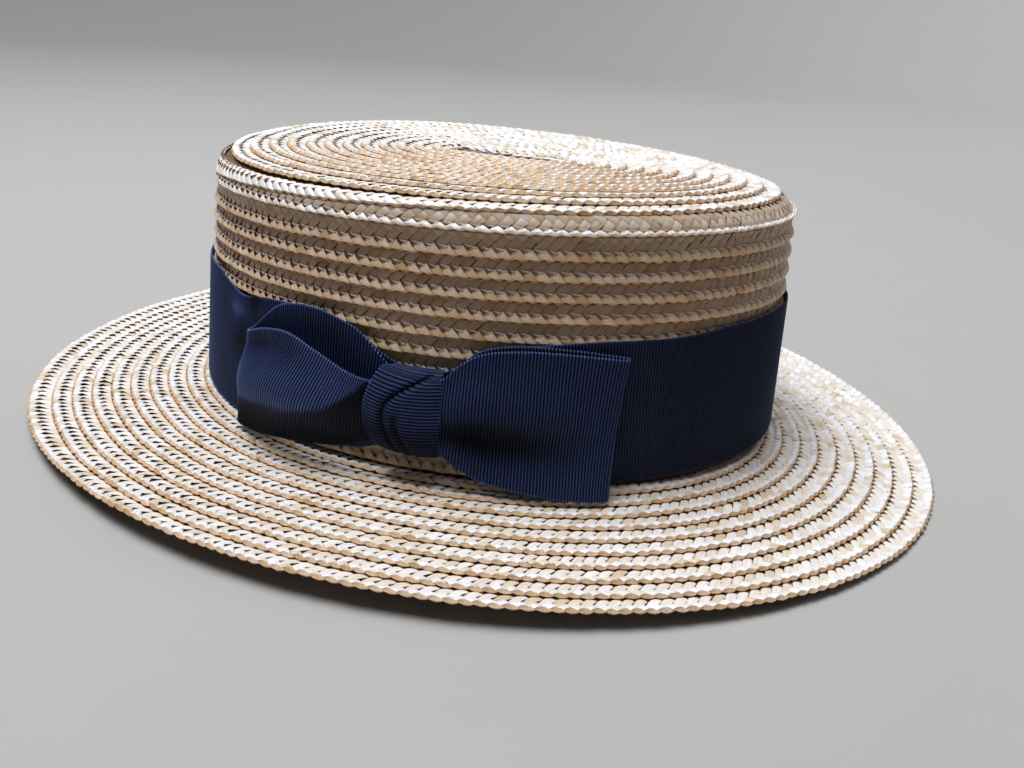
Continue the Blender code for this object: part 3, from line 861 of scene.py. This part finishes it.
def straw_material(name, lit_bead_wash, wash, pocket_shade=0.25, rim_shade=0.45, rounding=0.64):
    """Straw: each one has its own tone, with fibre streaks, and painted shade in dark gold where it
    bends under, along its sides and down a bead's outer face. The pocket and rim values are the
    share left free of painted shade where a straw starts and along its sides, and rounding is where
    along a bead its painted shade begins. A row has painted shade beside the row that covers it."""
    made = Finish(name)
    fibre = made.mark("fibre", "Vector")
    run, over, seed = made.add("SeparateXYZ", {0: fibre}).node.outputs
    is_bead = made.maths("GREATER_THAN", seed, 1.0)
    tone = made.ramp(made.maths("FRACT", seed), STRAW_TONES)
    # Beads take a lighter wash than the straws between them: painted light on the raised beads,
    # painted shade on the straws between
    washes = made.add("Mix", {"A": wash, "B": lit_bead_wash, "Factor": is_bead}, "Result",
                      data_type="VECTOR")
    streaks = made.noise(fibre, (1.2, 9.0, 57.0), 3.0)
    streak = made.rise(streaks, 0.3, 0.7, 0.84, 1.06)
    # Painted shade: dark gold where a straw starts under its neighbour, where it ends, along its
    # sides and down a bead's outer face
    start = made.rise(run, 0.02, 0.16, pocket_shade, 1.0)
    stop = made.add("Mix", {"A": made.rise(run, 0.91, 0.99, 1.0, 0.6),
                            "B": made.rise(run, rounding, 0.72, 1.0, 0.44),
                            "Factor": is_bead}, "Result")
    side = made.maths("ABSOLUTE", made.maths("SUBTRACT", over, 0.5))
    rim = made.rise(side, 0.34, 0.52, 1.0, rim_shade)
    unshaded = made.maths("MULTIPLY", made.maths("MULTIPLY", start, stop), rim)
    bend = made.ramp(unshaded, STRAW_BEND_SHADES)
    # Painted shade beside the row that covers this one
    beside = made.ramp(made.rise(made.mark("shade", "Fac"), 0.0, 0.5, 0.0, 1.0), SEAM_SHADES)
    colour = made.scaled(tone, streak)
    for factor in (bend, beside, washes):
        colour = made.times(colour, factor)
    return made.finished(streaks, 0.3, 0.0001, {
        "Base Color": colour, "Roughness": 0.42, "Specular IOR Level": 0.5,
        "Coat Weight": 0.18, "Coat Roughness": 0.3})


def speckled_material(name, dark, light, scale, roughness):
    """Material whose colour drifts between two, with a fine bump."""
    made = Finish(name)
    place = made.add("TexCoord", {}, "Object")
    noise = made.noise(place, (scale, scale, scale), 4.0)
    colour = made.ramp(noise, ((0.3, dark), (0.7, light)))
    return made.finished(noise, 0.3, 0.0002, {"Base Color": colour, "Roughness": roughness})


def ribbon_material():
    """Navy grosgrain: dull ribs with fine threads round them and painted shade in the grooves
    between. A low tone gives painted shade, warm and dark, and a tone above 1 a painted sheen.
    """
    made = Finish("navy_grosgrain")
    weave = made.mark("fibre", "Vector")
    rib = made.add("SeparateXYZ", {0: weave}, "Z")
    shade = made.mark("shade", "Fac")
    noise = made.noise(weave, (1.3, 6.5, 0.0), 4.0)
    colour = made.scaled(made.ramp(rib, RIB_TONES), made.rise(noise, 0.25, 0.75, 0.75, 1.25))
    # Painted shade where the tone is low, painted sheen where it is above 1
    colour = made.times(colour, made.ramp(shade, RIB_SHADE_TINTS))
    colour = made.scaled(colour, made.rise(shade, 1.0, 1.6, 1.0, 3.5))
    return made.finished(noise, 0.4, 0.00008, {
        "Base Color": colour, "Roughness": 0.5, "Specular IOR Level": 0.06,
        "Sheen Weight": 0.08, "Sheen Roughness": 0.4, "Sheen Tint": (0.35, 0.45, 1.0, 1.0)})


def put(piece, slot, *nodes):
    """A piece of the hat and the CAD nodes that it stands for. Its slot is not used."""
    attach(piece, "root")
    if nodes:
        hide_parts(*nodes)
    return piece


# Straw pieces

# Copies of one straw with a wash for each part: painted light on the tip and on the shoulder's
# beads, painted shade on the wall and between the shoulder's beads
STRAW = straw_material("straw", (1.03, 1.04, 1.08), (0.96, 0.92, 0.88),
                       pocket_shade=0.7, rim_shade=0.66, rounding=0.40)
STRAW_TIP_LIT = straw_material("straw_of_the_tip_painted_light", (1.04, 1.05, 1.09), (0.99, 0.97, 0.95),
                           pocket_shade=0.75, rim_shade=0.66, rounding=0.48)
STRAW_SHOULDER_LIT_AND_SHADED = straw_material("straw_of_the_shoulder_painted_light_and_shade", (1.12, 1.10, 1.08), (0.72, 0.61, 0.50))
STRAW_WALL_SHADED = straw_material("straw_of_the_wall_painted_shade", (0.86, 0.67, 0.48), (0.47, 0.335, 0.215))
STRAW_UNDER = straw_material("straw_of_the_inside", (0.95, 0.86, 0.74), (0.90, 0.80, 0.66))
# Painted shade: dark brown for the layer under the rows
STRAW_DEEP_SHADE = speckled_material("straw_core_painted_shade", (0.09, 0.04, 0.015), (0.22, 0.12, 0.05), 900.0, 0.8)
THREAD = speckled_material("sewing_thread", (0.50, 0.44, 0.48), (0.72, 0.66, 0.70), 2500.0, 0.6)


def lay_thread(course, random):
    """Points, faces and marks of the sewing thread's stitches above a course's beads."""
    places, gaps = course.beads
    count = len(places)
    run = np.linspace(-1, 1, THREAD_RINGS)
    turn = np.arange(THREAD_SIDES) * 2 * math.pi / THREAD_SIDES
    length = gaps * (STITCH_SHARE + STITCH_VARIES * random.normal(size=count))
    x = (places + STITCH_SHIFT * gaps)[:, None] + run[None] * length[:, None]
    stray = random.normal(size=count)[:, None] * THREAD_STRAY
    y = THREAD_INSET - THREAD_SLANT * run[None] + stray
    wave = random.normal(size=count)[:, None] * THREAD_WAVE
    z = THREAD_LIFT - THREAD_DIVE * run[None] ** 4 + wave
    along = x[..., None] + 0 * turn
    across = y[..., None] + THREAD_RADIUS * np.cos(turn)
    lift = z[..., None] + THREAD_RADIUS * np.sin(turn)
    points = course.point(along.ravel(), across.ravel(), lift.ravel())
    index = np.arange(THREAD_RINGS * THREAD_SIDES).reshape(THREAD_RINGS, THREAD_SIDES)
    near, far = index[:-1], index[1:]
    faces = np.stack([near, far, np.roll(far, -1, 1), np.roll(near, -1, 1)], -1).reshape(-1, 4)
    faces = np.concatenate([faces, index[:1], index[-1:, ::-1]])
    faces = faces[None] + (np.arange(count) * index.size)[:, None, None]
    return points, faces.reshape(-1, 4), np.ones((len(points), 4))


def put_straw(name, courses, random, templates, finish, *nodes):
    """A piece of all the straws of some courses."""
    straws = joined([lay_straws(course, kind, random, templates)
                     for course in courses for kind in reversed(templates)])
    put(add_mesh(name, *straws, finish), "straw", *nodes)


def level_course(surface, height, start, stop, inward, random):
    """A run of plait at one height of the crown."""
    return Course(surface, lambda angle: np.full_like(angle, height), start, stop, inward,
                  WALL_PITCH, random)


def crown_row_edge(angle):
    """Reach to the beaded edge of the crown's one spiral."""
    return crown_edge(spiral_level(angle, 0), angle)


def crown_outside(random):
    """The plait over the crown's tip and down its wall to under the ribbon."""
    turns = (-len(WALL_ROWS), -1, 0, TIP_ROWS)
    ends = [TURN_END + 360.0 * turn for turn in turns]
    wall, shoulder, tip = (Course(crown_surface, crown_row_edge, start, stop, 1, pitch, random)
                           for start, stop, pitch in zip(ends, ends[1:],
                                                         (WALL_PITCH, WALL_PITCH, TIP_PITCH)))
    wall.levelled = shoulder.levelled = 1.0
    tip.sink = LEVEL_SINK
    for course in (wall, shoulder, tip):
        course.cover = lambda angle: crown_row_edge(angle + 2 * math.pi) - crown_row_edge(angle)
    beside_bow = [level_course(crown_surface, height, BOW_ROWS_START, BOW_ROWS_END, 1, random)
                  for height in BOW_ROWS]
    put_straw("straw_crown_wall", [wall, *beside_bow], random, TEMPLATES, STRAW_WALL_SHADED, "crown")
    thread = joined([lay_thread(course, random) for course in (wall, shoulder, *beside_bow)])
    put(add_mesh("sewing_thread", *thread, THREAD), "straw")
    put_straw("straw_crown_shoulder", [shoulder], random, TEMPLATES, STRAW_SHOULDER_LIT_AND_SHADED)
    put_straw("straw_crown_tip", [tip], random, LEVEL_TEMPLATES, STRAW_TIP_LIT)


def brim_rings(surface, reach, inward, sink, random):
    """The rings of the brim's top or underside, with beads in from the top's by a reach."""
    def row_edge(row):
        return lambda angle: brim_width(angle) - brim_offset(row, angle) - reach

    rings = [Course(surface, row_edge(row), 0.0, 360.0, inward, BRIM_PITCH, random)
             for row in range(BRIM_ROWS)]
    for ring in rings:
        ring.sink = sink
    return rings


def brim_top(random):
    """The plait over the brim's top, in an outer and an inner piece."""
    rings = brim_rings(brim_surface, 0.0, -1, LEVEL_SINK, random)
    rings[0].cover = lambda angle: brim_offset(1, angle)
    rings[0].stretched = True
    put_straw("straw_brim_outer", rings[:OUTER_ROWS], random, LEVEL_TEMPLATES, STRAW, "brim")
    put_straw("straw_brim_inner", rings[OUTER_ROWS:], random, LEVEL_TEMPLATES, STRAW)


def brim_below(random):
    """The plait under the brim, in an outer and an inner piece; its beads face inward."""
    rings = brim_rings(brim_under, UNDER_REACH, 1, UNDER_SINK, random)
    for name, some in (("straw_under_outer", rings[:UNDER_OUTER_ROWS]),
                       ("straw_under_inner", rings[UNDER_OUTER_ROWS:])):
        put_straw(name, some, random, PLAIN_TEMPLATES, STRAW_UNDER)


def inside_surface(angle, reach):
    """Points of the crown's inside."""
    angle, reach = np.broadcast_arrays(angle, reach)
    normal = surface_normal(crown_surface, angle, reach, 1)
    return crown_surface(angle, reach) - normal * CROWN_THICK


def crown_inside(random):
    """The plait of the crown's inside; its beads face up and to the middle."""
    start = TURN_END - 360.0 * len(WALL_ROWS)
    stop = TURN_END + 360.0 * (TIP_ROWS - 1)
    main = Course(inside_surface, lambda angle: crown_row_edge(angle) + INSIDE_REACH,
                  start, stop, -1, WALL_PITCH, random)
    lower = [level_course(inside_surface, height, 0.0, 360.0, -1, random)
             for height in INSIDE_LOW_ROWS]
    for course in (main, *lower):
        course.sink = INSIDE_SINK
    put_straw("straw_crown_inside", [main, *lower], random, PLAIN_TEMPLATES, STRAW_UNDER)


def revolved(name, surface, reaches, depth, way):
    """Closed thin shell, a depth below a surface. Reaches are functions of the angle."""
    angle = np.arange(CORE_STEPS) * 2 * math.pi / CORE_STEPS
    rings = []
    for offset, side in ((-depth, reaches), (-depth - CORE_THICK, reaches[::-1])):
        for reach in side:
            value = reach(angle)
            normal = surface_normal(surface, angle, value, way)
            rings.append(surface(angle, value) + normal * offset)
    index = np.arange(len(rings) * CORE_STEPS).reshape(-1, CORE_STEPS)
    follow = np.roll(index, -1, axis=1)
    below = np.roll(index, -1, axis=0)
    corner = np.roll(follow, -1, axis=0)
    faces = np.stack([index, follow, corner, below], -1).reshape(-1, 4)
    return add_mesh(name, np.concatenate(rings), faces, None, STRAW_DEEP_SHADE)


def cores():
    """Layer under the rows, painted dark brown as the shade that shows between them."""
    def at_height(height):
        return lambda angle: np.full_like(angle, height)

    def at_share(share):
        return lambda angle: ((brim_width(angle) - BRIM_CORE_EDGE) * share
                              - BRIM_CORE_ROOT * (1 - share))

    heights = [*np.linspace(*CROWN_CORE_WALL), *np.linspace(*CROWN_CORE_TIP)]
    put(revolved("straw_core_crown", crown_surface, [at_height(height) for height in heights],
                 CROWN_CORE_DEPTH, 1), "straw")
    shares = np.linspace(0, 1, BRIM_CORE_RINGS)
    put(revolved("straw_core_brim", brim_surface, [at_share(share) for share in shares],
                 BRIM_CORE_DEPTH, -1), "straw")


# Ribbon pieces

NAVY = ribbon_material()


def arc_table():
    """Distances along the crown's foot from the middle of the bow side, and their angles."""
    angle = np.linspace(-1.5 * math.pi, 0.5 * math.pi, 2 * ARC_STEPS + 1)
    along = line_lengths(foot(angle))
    return along - along[ARC_STEPS], angle


ARC_ALONG, ARC_ANGLE = arc_table()


def at(along, height, out):
    """Points by distance along the foot, height up the wall and distance out, in millimetres."""
    return wall_point(np.interp(np.asarray(along) * MM, ARC_ALONG, ARC_ANGLE),
                      np.asarray(height) * MM, np.asarray(out) * MM)


def smooth_table(lines, steps):
    """Columns of a table with rows put in between by a Catmull-Rom curve."""
    place = np.linspace(0, len(lines) - 1, steps)
    row = np.minimum(place.astype(int), len(lines) - 2)
    t = place - row
    made = {}
    for key in lines[0]:
        value = np.array([line[key] for line in lines])
        value = np.concatenate([[value[0]], value, [value[-1]]])
        before, start, stop, after = (value[row + k] for k in range(4))
        square = 2 * before - 5 * start + 4 * stop - after
        cube = 3 * start - before - 3 * stop + after
        made[key] = start + ((stop - before) * t + square * t ** 2 + cube * t ** 3) / 2
    return made


def even_columns(line):
    """Places along a line, in samples, that give whole ribs of equal width, and its length."""
    run = line_lengths(line)
    ribs = max(2, round(run[-1] / RIB))
    wanted = np.linspace(0, run[-1], ribs * len(RIB_COLUMNS) + 1)
    return np.interp(wanted, run, np.arange(len(line))), run[-1]


def sampled(values, places):
    """Values of an array at fractional places along its first axis."""
    low = np.minimum(places.astype(int), len(values) - 2)
    part = (places - low).reshape((-1,) + (1,) * (values.ndim - 1))
    return values[low] * (1 - part) + values[low + 1] * part


def ribbon_shares(rows):
    """Places across a ribbon as shares of its width, with a narrow strip at each edge."""
    return np.concatenate([[0.0], np.linspace(EDGE_STRIP, 1 - EDGE_STRIP, rows - 2), [1.0]])


def ribbon_grid(strip, tone, places, rows):
    """Points and tones at places along a ribbon, from functions of the share of its width."""
    shares = ribbon_shares(rows)
    return [np.stack([sampled(made(share), places) for share in shares], 1)
            for made in (strip, tone)]


def ribbon_mesh(name, middle, shade, ring):
    """Closed ribbon with ribs across it, from a grid of points: columns along it, rows across.
    Shade is the ribs' tone over the same grid. Marks are ribs along, ribs' widths across, height
    on the rib and that tone."""
    if ring:
        along = np.roll(middle, -1, 0) - np.roll(middle, 1, 0)
    else:
        along = np.gradient(middle, axis=0)
    across = np.gradient(middle, axis=1)
    normal = np.cross(along, across)
    normal /= np.linalg.norm(normal, axis=-1, keepdims=True)
    columns, rows = middle.shape[:2]
    rib = np.array(RIB_COLUMNS)[np.arange(columns) % len(RIB_COLUMNS)][:, None]
    share = ribbon_shares(rows)[None, :]
    body = np.where((share == 0.0) | (share == 1.0), EDGE_THIN, 1.0)
    half = (RIBBON / 2 + rib * RIB_RELIEF) * body
    width = across / np.linalg.norm(across, axis=-1, keepdims=True)
    past = np.zeros((columns, rows))
    past[:, -1] = PICOT * (rib[:, 0] * 0.5 + 0.5)
    past[:, 0] = -past[:, -1]
    spread = middle + width * past[..., None]
    thick = normal * half[..., None]
    section = np.concatenate([spread + thick, (spread - thick)[:, ::-1]], axis=1)
    count = 2 * rows
    index = np.arange(columns * count).reshape(columns, count)
    near = index if ring else index[:-1]
    far = np.roll(index, -1, 0) if ring else index[1:]
    faces = np.stack([near, far, np.roll(far, -1, 1), np.roll(near, -1, 1)], -1).reshape(-1, 4)
    if not ring:
        caps = []
        for end, way in ((index[0], 1), (index[-1], -1)):
            for k in range(rows - 1):
                quad = (end[k], end[k + 1], end[count - 2 - k], end[count - 1 - k])
                caps.append(quad[::way])
        faces = np.concatenate([faces, np.array(caps)])
    marks = np.empty((columns, count, 4))
    marks[..., 0] = (np.arange(columns) / len(RIB_COLUMNS))[:, None]
    marks[..., 1] = np.concatenate([share[0], share[0, ::-1]])[None] * RIBBON_WIDTH / RIB
    marks[..., 2] = rib * 0.5 + 0.5
    shade = shade.copy()
    shade[:, [0, -1]] += PICOT_HIGHLIGHT
    marks[..., 3] = np.concatenate([shade, shade[:, ::-1]], axis=1)
    return add_mesh(name, section.reshape(-1, 3), faces, marks.reshape(-1, 4), NAVY, None)


def loop_grid(lines, dent):
    """Grid of points of a loop with its dent at a share of its width, its tones and length."""
    course = smooth_table(lines, LOOP_STEPS)

    def strip(share):
        along = course["along"] + course["lean"] * (share - 0.5)
        height = course["low"] + (course["high"] - course["low"]) * share
        out = course["out"] + course["flare"] * (1 - share) ** FLARE_POWER
        out = out + course["ridge"] * math.exp(-((share - RIDGE_SHARE) / RIDGE_SPREAD) ** 2)
        out = out - course["hollow"] * math.exp(-((share - dent) / HOLLOW_SPREAD) ** 2)
        return at(along, height, out)

    def tone(share):
        """Painted shade where the ribbon turns away from the light, on its lowest part and in its
        dent, and a painted sheen on its bulge.
        """
        spread = HOLLOW_SPREAD * HOLLOW_WIDER
        dented = course["hollow"] * math.exp(-((share - dent) / spread) ** 2)
        turned = 1 - smooth_step((share - course["shade"]) / SHADE_BLEND + 0.5)
        turned = turned * smooth_step(course["shade"] / SHADE_SHARE)
        lowest = turned * (1 - smooth_step((share - EDGE_SHARE) / SHADE_BLEND + 0.5))
        shadow = (1 - (1 - SHADE_TONE) * turned) * (1 - (1 - LOWEST_SHADE) * lowest)
        lit = 1 + LIT_TONE * smooth_step(course["shade"] / LIT_SHARE) * (1 - turned)
        return np.clip((lit - HOLLOW_SHADE * dented) * shadow, *TONE_LIMITS)

    places, length = even_columns(strip(0.5))
    return *ribbon_grid(strip, tone, places, LOOP_ROWS), length


def band_grid():
    """Grid of points of the band, its tones and length."""
    course = smooth_table(BAND, 400)
    angle = -math.pi / 2 + np.arange(BAND_STEPS + 1) * 2 * math.pi / BAND_STEPS
    places, length = even_columns(wall_point(angle, BAND_MIDDLE, BAND_OUT))
    angle = np.interp(places, np.arange(BAND_STEPS + 1), angle)[:-1]
    turned = (angle - math.pi / 2) % (2 * math.pi) - 1.5 * math.pi
    along = np.interp(turned, ARC_ANGLE, ARC_ALONG) / MM
    low = np.interp(along, course["along"], course["low"])
    high = np.interp(along, course["along"], course["high"])
    # Painted shade towards the front
    darker = (smooth_step((along - BAND_DARKENS[0]) / BAND_DARKENS[1])
              * smooth_step((BAND_CLEARS[0] - along) / BAND_CLEARS[1]))
    grid = []
    shade = []
    for share in ribbon_shares(BAND_ROWS):
        height = low + (high - low) * share
        out = np.full_like(along, BAND_OUT / MM)
        tone = BAND_TONE - BAND_DARKER * darker
        # Painted sheen on the pucker's fold, painted shade in its dip and below it
        for spot in PUCKER:
            near = np.exp(-((along - spot["along"]) / spot["wide"]) ** 2
                          - ((height - spot["height"]) / spot["tall"]) ** 2)
            out += spot["out"] * near
            tone += spot["tone"] * near
        grid.append(at(along, height, out))
        shade.append(tone)
    return np.stack(grid, 1), np.stack(shade, 1), length


def knot_grid():
    """Grid of points of the knot, its tones and length: ribs run across, from edge to edge."""
    course = smooth_table(KNOT, KNOT_STEPS)
    heights = [row["height"] for row in CREASE]
    places = [row["place"] for row in CREASE]
    crease = np.interp(course["height"], heights, places)
    crease = np.convolve(np.pad(crease, CREASE_BLUR // 2, mode="edge"),
                         np.ones(CREASE_BLUR) / CREASE_BLUR, mode="valid")
    front = smooth_step((course["out"] - KNOT_FRONT[0]) / KNOT_FRONT[1])

    def tuck(share):
        beside = (share - crease - TUCK_PLACE) / CREASE_SPREAD
        ended = smooth_step((course["height"] - TUCK_TOP + TUCK_END) / TUCK_END)
        return np.exp(-beside ** 2) * (1 - ended)

    def strip(share):
        along = course["left"] + (course["right"] - course["left"]) * share
        bulge = 1 - KNOT_SIDES * abs(2 * share - 1) ** KNOT_ROUND
        beside = (share - crease) / CREASE_SPREAD
        fade = np.exp(-np.maximum(beside, 0) / STEP_FADE)
        fold = CREASE_STEP * (np.tanh(beside) + 1) / 2 * fade
        fold = fold - CREASE_DEPTH * np.exp(-beside ** 2) - TUCK_DEPTH * tuck(share)
        rise = LOBE_RISE * np.maximum(crease - share, 0) * front
        out = KNOT_BACK + (course["out"] - KNOT_BACK) * bulge + fold * front
        return at(along, course["height"] + rise, out)

    def tone(share):
        """Painted shade in the crease, in the tuck and on the knot's lower part."""
        beside = (share - crease) / CREASE_SPREAD
        low = 1 - smooth_step((course["height"] - KNOT_LOW[0]) / KNOT_LOW[1])
        creased = CREASE_SHADE * np.exp(-beside ** 2) + TUCK_SHADE * tuck(share)
        return np.clip((KNOT_TONE - creased * front) * (1 - KNOT_LOW_SHADE * low),
                       *KNOT_TONE_LIMITS)

    places, length = even_columns(strip(KNOT_SPINE))
    grid, shade = ribbon_grid(strip, tone, places, KNOT_ROWS)
    return grid[:, ::-1], shade[:, ::-1], length


def add_ribbon(name, node, made_grid, ring):
    """A ribbon piece that stands for a CAD node."""
    grid, shade, length = made_grid
    made = ribbon_mesh(name, grid, shade, ring)
    put(made, "ribbon", node)


def ribbons():
    """The band and the three pieces of the bow."""
    add_ribbon("ribbon_band", "hat_band", band_grid(), True)
    add_ribbon("ribbon_left_loop", "bow_left_loop", loop_grid(LEFT_LOOP, LEFT_HOLLOW), False)
    add_ribbon("ribbon_right_loop", "bow_right_loop", loop_grid(RIGHT_LOOP, RIGHT_HOLLOW), False)
    add_ribbon("ribbon_knot", "bow_knot", knot_grid(), False)


random = np.random.default_rng(SEED)
crown_outside(random)
brim_top(random)
brim_below(random)
crown_inside(random)
cores()
ribbons()


# Studio

def add_camera():
    """Camera at the photograph's angle to the hat."""
    forward = Vector((-math.sin(CAMERA_AZIMUTH) * math.cos(CAMERA_ELEVATION),
                      math.cos(CAMERA_AZIMUTH) * math.cos(CAMERA_ELEVATION),
                      -math.sin(CAMERA_ELEVATION)))
    level = forward.cross(Vector((0, 0, 1))).normalized()
    upward = level.cross(forward)
    right = level * math.cos(CAMERA_ROLL) + upward * math.sin(CAMERA_ROLL)
    up = upward * math.cos(CAMERA_ROLL) - level * math.sin(CAMERA_ROLL)
    middle = Vector((MIDDLE[0], MIDDLE[1], -CROWN_FOOT))
    place = Vector(CAMERA_TARGET) - middle - forward * CAMERA_DISTANCE
    data = bpy.data.cameras.new("camera")
    data.sensor_width = SENSOR
    data.lens = FOCAL_PIXELS * SENSOR / IMAGE_WIDTH
    data.clip_start = 0.01
    data.clip_end = 50.0
    camera = bpy.data.objects.new("camera", data)
    bpy.context.scene.collection.objects.link(camera)
    turn = Matrix((right, up, -forward)).transposed()
    camera.matrix_world = Matrix.Translation(place) @ turn.to_4x4()
    bpy.context.scene.camera = camera


def add_area(name, place, target, size, power, colour):
    """Rectangular area light that faces a point."""
    data = bpy.data.lights.new(name, "AREA")
    data.shape = "RECTANGLE"
    data.size, data.size_y = size
    data.energy = power
    data.color = colour
    light = bpy.data.objects.new(name, data)
    bpy.context.scene.collection.objects.link(light)
    away = Vector(place) - Vector(target)
    light.rotation_mode = "QUATERNION"
    light.rotation_quaternion = away.to_track_quat("Z", "Y")
    light.location = place
    light.visible_camera = False


def add_backdrop():
    """Pale floor that curves up all round into a wall."""
    flat, bend, top, steps, bend_steps = 1.6, 0.8, 2.6, 96, 12
    line = [(0.0, 0.0), (0.4, 0.0), (0.8, 0.0), (flat, 0.0)]
    for step in range(1, bend_steps + 1):
        turn = math.pi / 2 * step / bend_steps
        line.append((flat + bend * math.sin(turn), bend * (1 - math.cos(turn))))
    line.append((flat + bend, top))
    angle = np.arange(steps) * 2 * math.pi / steps
    points = [(0.0, 0.0, 0.0)]
    faces = []
    for radius, height in line[1:]:
        points += [(radius * math.cos(a), radius * math.sin(a), height) for a in angle]
    for s in range(steps):
        faces.append((0, 1 + s, 1 + (s + 1) % steps))
    for r in range(len(line) - 2):
        for s in range(steps):
            a, b = 1 + r * steps + s, 1 + r * steps + (s + 1) % steps
            faces.append((a, a + steps, b + steps, b))
    mesh = bpy.data.meshes.new("floor")
    mesh.from_pydata(points, [], faces)
    mesh.shade_smooth()
    mesh.materials.append(speckled_material("floor_paper", (0.432, 0.420, 0.405),
                                            (0.440, 0.428, 0.413), 30.0, 0.9))
    made = bpy.data.objects.new("floor", mesh)
    bpy.context.scene.collection.objects.link(made)


add_camera()
add_backdrop()
for row in LIGHTS:
    add_area(**row)
world = bpy.data.worlds.new("studio")
world.use_nodes = True
world.node_tree.nodes["Background"].inputs["Color"].default_value = WORLD_COLOUR
world.node_tree.nodes["Background"].inputs["Strength"].default_value = WORLD_STRENGTH
bpy.context.scene.world = world
bpy.context.scene.view_settings.view_transform = "Standard"
